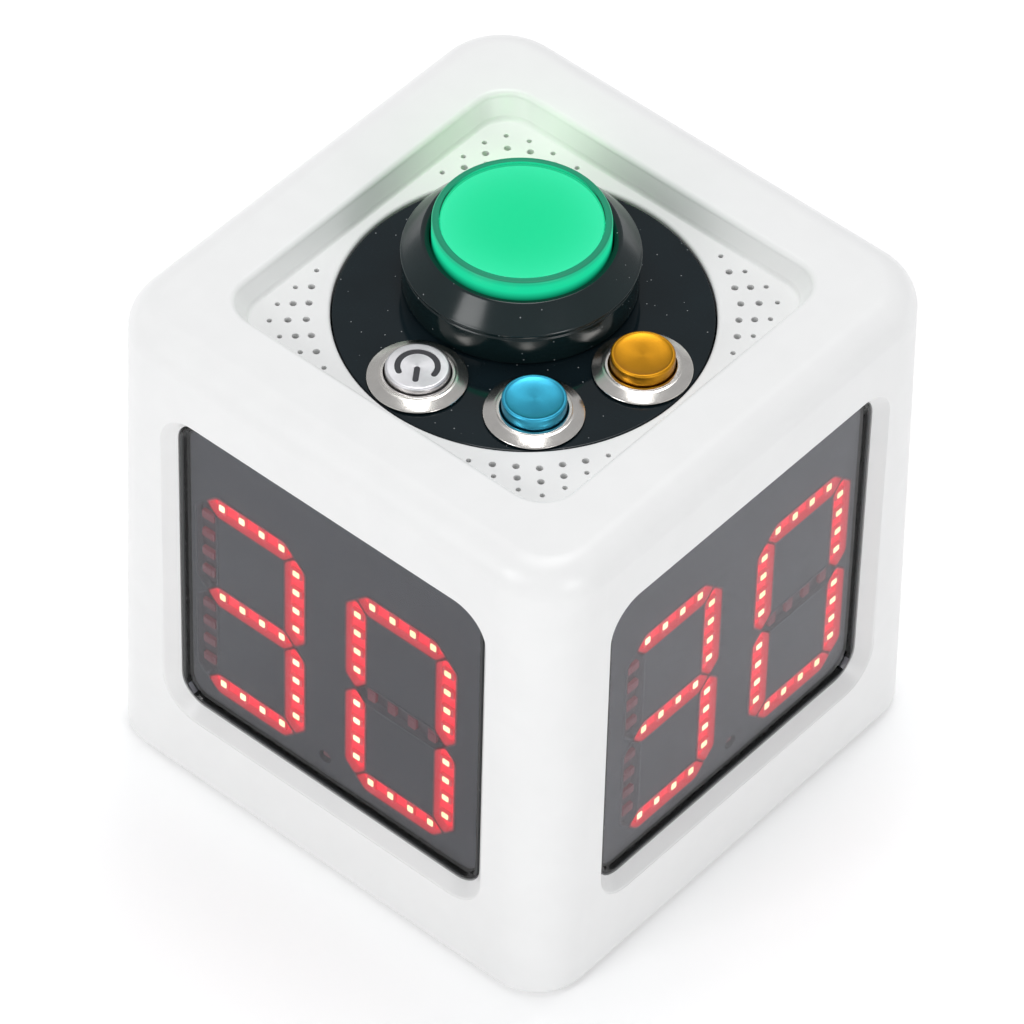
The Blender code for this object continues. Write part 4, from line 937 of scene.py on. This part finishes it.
def make_dome():
    place = axis_of("dome_housing")
    low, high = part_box("dome_housing")
    lens_low, lens_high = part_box("dome_lens")
    rim = (high.x - low.x) / 2
    lip_height = high.z - PANEL_TOP
    lip = rim - 0.0036
    rim_height = lip_height - 0.004
    bottom = low.z - PANEL_TOP
    lens = (lens_high.x - lens_low.x) / 2
    well = lens + FIT_GAP
    well_floor = 0.0015
    barrel = BARREL["dome_housing"]
    bore = barrel - 0.002
    tip = 0.0025 + FIT_GAP
    side = rim - 0.0003
    housing = turned("dome_surround", [
        (well, lip_height - 0.0009), (well + 0.0003, lip_height - 0.0002), (lip - 0.0003, lip_height),
        (lip, lip_height - 0.0002), (rim - 0.0004, rim_height + 0.0001), (rim, rim_height - 0.0003),
        (rim, rim_height - 0.0008), (side - 0.0002, rim_height - 0.0010),
        (side - 0.0002, rim_height - 0.0015),
        (side, rim_height - 0.0017), (side, FIT_GAP), (barrel, FIT_GAP), (barrel, bottom), (tip, bottom),
        (tip, bottom + 0.0015), (bore, bottom + 0.0015), (bore, well_floor), (well, well_floor)],
        place, HOUSING, radius=0.00025, steps=192)
    stands_for(housing, "dome_housing")

    top = lens_high.z - PANEL_TOP
    lens_bottom = lens_low.z - PANEL_TOP
    skin = 0.0005
    inner = lens - 0.0014
    edge = 0.0003
    groove = inner + 0.0001

    def is_wall(centre):
        return 0 if math.hypot(centre.x, centre.y) < groove and centre.z > top - 2 * skin else 1

    def wall_glow(r, height):
        """Bright where the lamp shines through the wall, fading into the well and at the rim."""
        if height > top - edge / 2:
            return 0.20 + 0.08 * (lens - r) / (lens - inner)
        share = (height - lip_height) / (top - lip_height)
        return max(0.0, min(0.80, 0.80 - 0.9 * max(0.0, share - 0.65) + 1.1 * min(0.0, share - 0.3)))

    wall_heights = [lip_height + (top - edge - lip_height) * step / 8 for step in range(7, -4, -1)]
    lens_piece = turned("dome_cover", [
        (0, top), (groove * 0.6, top), (groove, top), (groove + 0.00015, top - 0.00015),
        (groove + 0.0003, top), (lens - edge, top), (lens, top - edge)]
        + [(lens, height) for height in wall_heights] + [
        (lens, lens_bottom), (inner, lens_bottom), (inner, top - skin), (0, top - skin)],
        place, LENS_CLEAR, LENS_WALL, radius=0.00015, steps=192, choose=is_wall, glow_at=wall_glow)
    stands_for(lens_piece, "dome_lens")

    glow_top = top - skin - FIT_GAP
    glow_radius = inner - FIT_GAP / 2
    wall = 0.0012

    def face_glow(r, height):
        return min(1.0, (r / glow_radius) ** 3)

    diffuser = turned("dome_glow", [
        (glow_radius * step / 8, glow_top) for step in range(8)] + [
        (glow_radius - 0.0002, glow_top), (glow_radius, glow_top - 0.0002),
        (glow_radius, lens_bottom), (glow_radius - wall, lens_bottom), (glow_radius - wall, glow_top - wall),
        (0, glow_top - wall)], place, GREEN_GLOW, radius=0.0001, steps=128, glow_at=face_glow)
    stands_for(diffuser, "dome_diffuser")


# ---- base: cover, feet and screws ----------------------------------------------------------------

def make_base():
    low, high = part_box("base_cover")
    half = high.x
    inner_radius = CORNER_RADIUS_FOOT - CASE_WALL - FIT_GAP
    thickness = 0.003
    top = low.z + thickness
    edge = 0.0003
    cover = lofted("bottom_cover", [
        (low.z, half - edge, inner_radius - edge), (low.z + edge, half, inner_radius),
        (top, half, inner_radius)], WHITE)
    cutters = []
    for corner in CORNERS:
        foot_low, foot_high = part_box("foot_" + corner)
        screw_low, screw_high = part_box("cover_screw_" + corner)
        foot = (foot_high.x - foot_low.x) / 2
        head = (screw_high.x - screw_low.x) / 2
        for name, radius, deep in (("foot_seat", foot + FIT_GAP, foot_high.z + FIT_GAP),
                                   ("head_seat", head + FIT_GAP, low.z + 0.0021),
                                   ("shank_hole", 0.0015, top + FIT_GAP)):
            node = "foot_" + corner if name == "foot_seat" else "cover_screw_" + corner
            cutters.append(rod(name, radius, low.z - FIT_GAP, deep, Matrix.Translation(axis_of(node, 0)), 48))
        make_foot(corner, foot, foot_high.z)
        make_screw(corner, head, screw_low.z, screw_high.z)
    cut(cover, cutters)
    stands_for(cover, "base_cover")


def make_foot(corner, radius, top):
    node = "foot_" + corner
    foot = turned("pad_" + corner, [
        (0, top), (radius, top), (radius, 0.0004), (radius - 0.0004, 0), (radius * 0.72, 0),
        (radius * 0.68, 0.0002), (0, 0.0002)], axis_of(node, 0), RUBBER, radius=0.0002, steps=64)
    stands_for(foot, node)


def make_screw(corner, head, bottom, top):
    node = "cover_screw_" + corner
    shank = 0.0012
    head_height = 0.0015
    screw = turned("screw_" + corner, [
        (0, top), (shank * 0.4, top), (shank, top - shank), (shank, bottom + head_height),
        (head, bottom + head_height), (head, bottom + head_height / 3), (head * 0.8, bottom), (0, bottom)],
        axis_of(node, 0), STEEL, radius=0.0002, steps=48)
    arm, slot = head * 0.55, head * 0.12
    outline = [Matrix.Rotation(turn * math.pi / 2, 2) @ Vector(point) for turn in range(4)
               for point in ((arm, -slot), (arm, slot), (slot, slot))]
    cross = bmesh.new()
    extrude_outline(cross, outline, bottom - FIT_GAP, bottom + head_height * 0.5,
                    Matrix.Translation(axis_of(node, 0)) @ Matrix.Rotation(math.pi / 4, 4, "Z"))
    cut(screw, [put("cross_cut_" + corner, cross)])
    stands_for(screw, node)


# ---- springs and charging port -------------------------------------------------------------------


def make_spring(node):
    """A coil of round wire, as tall as the node's box."""
    low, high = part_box(node)
    wire, turns = SPRING_SHAPE.get(node, SMALL_SPRING_SHAPE)
    radius = (high.x - low.x) / 2 - wire
    axis = axis_of(node, low.z)
    steps, sides = 36 * turns, 10
    climb = high.z - low.z - 2 * wire
    slope = climb / (2 * math.pi * turns * radius)
    shape = bmesh.new()
    rings = []
    for step in range(steps + 1):
        angle = 2 * math.pi * turns * step / steps
        out = Vector((math.cos(angle), math.sin(angle), 0))
        along = Vector((-math.sin(angle), math.cos(angle), slope)).normalized()
        side = along.cross(out)
        centre = out * radius + Vector((0, 0, wire + climb * step / steps))
        rings.append([shape.verts.new(centre + (out * math.cos(turn) + side * math.sin(turn)) * wire)
                      for turn in (2 * math.pi * i / sides for i in range(sides))])
    for first, second in zip(rings, rings[1:]):
        for i in range(sides):
            j = (i + 1) % sides
            shape.faces.new((first[i], first[j], second[j], second[i]))
    shape.faces.new(rings[0])
    shape.faces.new(rings[-1])
    spring = stands_for(put(node + "_coil", shape, STEEL, at=Matrix.Translation(axis)), node)
    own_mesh(spring)


def make_springs():
    for joint in frame["joints"]:
        for soft in joint.get("deforming_nodes") or []:
            make_spring(soft["node"])


def make_port():
    """A rounded metal socket, open to the back, with a contact tongue."""
    low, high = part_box("charging_port")
    width, height, depth = high.x - low.x, high.z - low.z, high.y - low.y
    wall = 0.0003
    back_wall = 0.0012
    place = Matrix.Translation((0, high.y, (low.z + high.z) / 2)) @ Matrix.Rotation(-math.pi / 2, 4, "X")

    def slot(name, wide, tall, start, end, *finishes):
        shape = bmesh.new()
        outline = soften([(-wide / 2, -tall / 2), (wide / 2, -tall / 2), (wide / 2, tall / 2),
                          (-wide / 2, tall / 2)], tall * 0.45, steps=8)
        extrude_outline(shape, outline, start, end, Matrix())
        return put(name, shape, *finishes, at=place)

    shell = slot("port_shell", width, height, -depth, 0, STEEL)
    cut(shell, [slot("port_bore", width - 2 * wall, height - 2 * wall, back_wall - depth, FIT_GAP)])
    stands_for(shell, "charging_port")
    tongue = slot("port_tongue", width * 0.72, height * 0.24, back_wall - depth, -0.0008, DARK)
    belongs(tongue, "charging_port")


# ---- carried-over CAD nodes ----------------------------------------------------------------------

def finish_cad_nodes():
    """Nodes with the right shape keep it, and get their slot's material."""
    for name, node in frame["nodes"].items():
        finish = SLOT_MATERIAL[NODE_SLOT[name]]
        if not node.material_slots:
            node.data.materials.append(finish)
        for slot in node.material_slots:
            slot.material = finish


# ---- stage, light and camera ---------------------------------------------------------------------

def direction(azimuth, elevation):
    """Unit vector towards a place round the clock; azimuth 0 is in front, at -Y."""
    a, e = math.radians(azimuth), math.radians(elevation)
    return Vector((math.sin(a) * math.cos(e), -math.cos(a) * math.cos(e), math.sin(e)))


def softbox(name, azimuth, elevation, distance, width, height, power, shows=True):
    """A soft lamp facing the clock. With shows false it lights, but polished parts don't mirror it."""
    lamp = bpy.data.lights.new(name, "AREA")
    lamp.shape = "RECTANGLE"
    lamp.size = width
    lamp.size_y = height
    lamp.energy = power
    light = bpy.data.objects.new(name, lamp)
    bpy.context.scene.collection.objects.link(light)
    towards = direction(azimuth, elevation)
    light.location = towards * distance + Vector((0, 0, CASE_MIDDLE))
    light.rotation_mode = "QUATERNION"
    light.rotation_quaternion = towards.to_track_quat("Z", "Y")
    light.visible_glossy = shows


def make_stage():
    shape = bmesh.new()
    bmesh.ops.create_grid(shape, x_segments=8, y_segments=8, size=6.0)
    material, tree, shader = principled("studio_floor", (0.93, 0.93, 0.93), 0.9)
    tree.links.new(blend_colours(tree, noise(tree, 3), (0.92, 0.92, 0.92), (0.94, 0.94, 0.94)),
                   shader.inputs["Base Color"])
    shader.inputs["Specular IOR Level"].default_value = 0.0
    shader.inputs["Emission Color"].default_value = (1.0, 1.0, 1.0, 1.0)
    shader.inputs["Emission Strength"].default_value = FLOOR_GLOW
    floor = put("studio_floor", shape, material)
    world = bpy.data.worlds.new("studio")
    bpy.context.scene.world = world
    world.use_nodes = True
    sky = world.node_tree.nodes["Background"]
    sky.inputs["Color"].default_value = (0.97, 0.98, 1.0, 1.0)
    sky.inputs["Strength"].default_value = WORLD_STRENGTH
    bpy.context.scene.view_settings.view_transform = "Standard"
    softbox("overhead", 205, 80, 1.6, 0.6, 1.1, 9.0)
    softbox("front_left", -8, 28, 1.3, 0.45, 0.6, 4.0)
    softbox("front_right", 74, 16, 1.4, 0.35, 0.6, 3.6)
    softbox("back_fill", 180, 25, 1.4, 0.6, 0.6, 2.6, shows=False)
    softbox("left_fill", 270, 20, 1.4, 0.6, 0.6, 2.6, shows=False)


def make_green_spill():
    """The lit dome's green light on the tray's back corner."""
    spill = bpy.data.lights.new("green_spill", "POINT")
    spill.energy = SPILL_POWER
    spill.color = SPILL_COLOUR
    spill.shadow_soft_size = SPILL_RADIUS
    light = bpy.data.objects.new("green_spill", spill)
    bpy.context.scene.collection.objects.link(light)
    light.location = axis_of("dome_housing") + SPILL_OFFSET


def make_camera():
    data = bpy.data.cameras.new("camera")
    data.lens = CAMERA_LENS
    data.sensor_width = 36
    data.clip_start = 0.05
    camera = bpy.data.objects.new("camera", data)
    bpy.context.scene.collection.objects.link(camera)
    back = direction(CAMERA_AZIMUTH, CAMERA_ELEVATION)
    right = (-back).cross(Vector((0, 0, 1))).normalized()
    up = right.cross(-back)
    roll = math.radians(CAMERA_ROLL)
    right, up = right * math.cos(roll) + up * math.sin(roll), up * math.cos(roll) - right * math.sin(roll)
    rotation = Matrix((right, up, back)).transposed().to_4x4()
    camera.matrix_world = Matrix.Translation(CAMERA_TARGET + back * CAMERA_DISTANCE) @ rotation
    bpy.context.scene.camera = camera


# ---- build ---------------------------------------------------------------------------------------

make_camera()
make_stage()
make_green_spill()
finish_cad_nodes()
make_case()
for side in SIDES:
    make_window(side)
    make_display(side)
make_panel()
for button, cap_finish in zip(BUTTONS, (SILVER, BLUE, GOLD)):
    make_small_button(button, cap_finish)
make_power_icon()
make_dome()
make_base()
make_springs()
make_port()
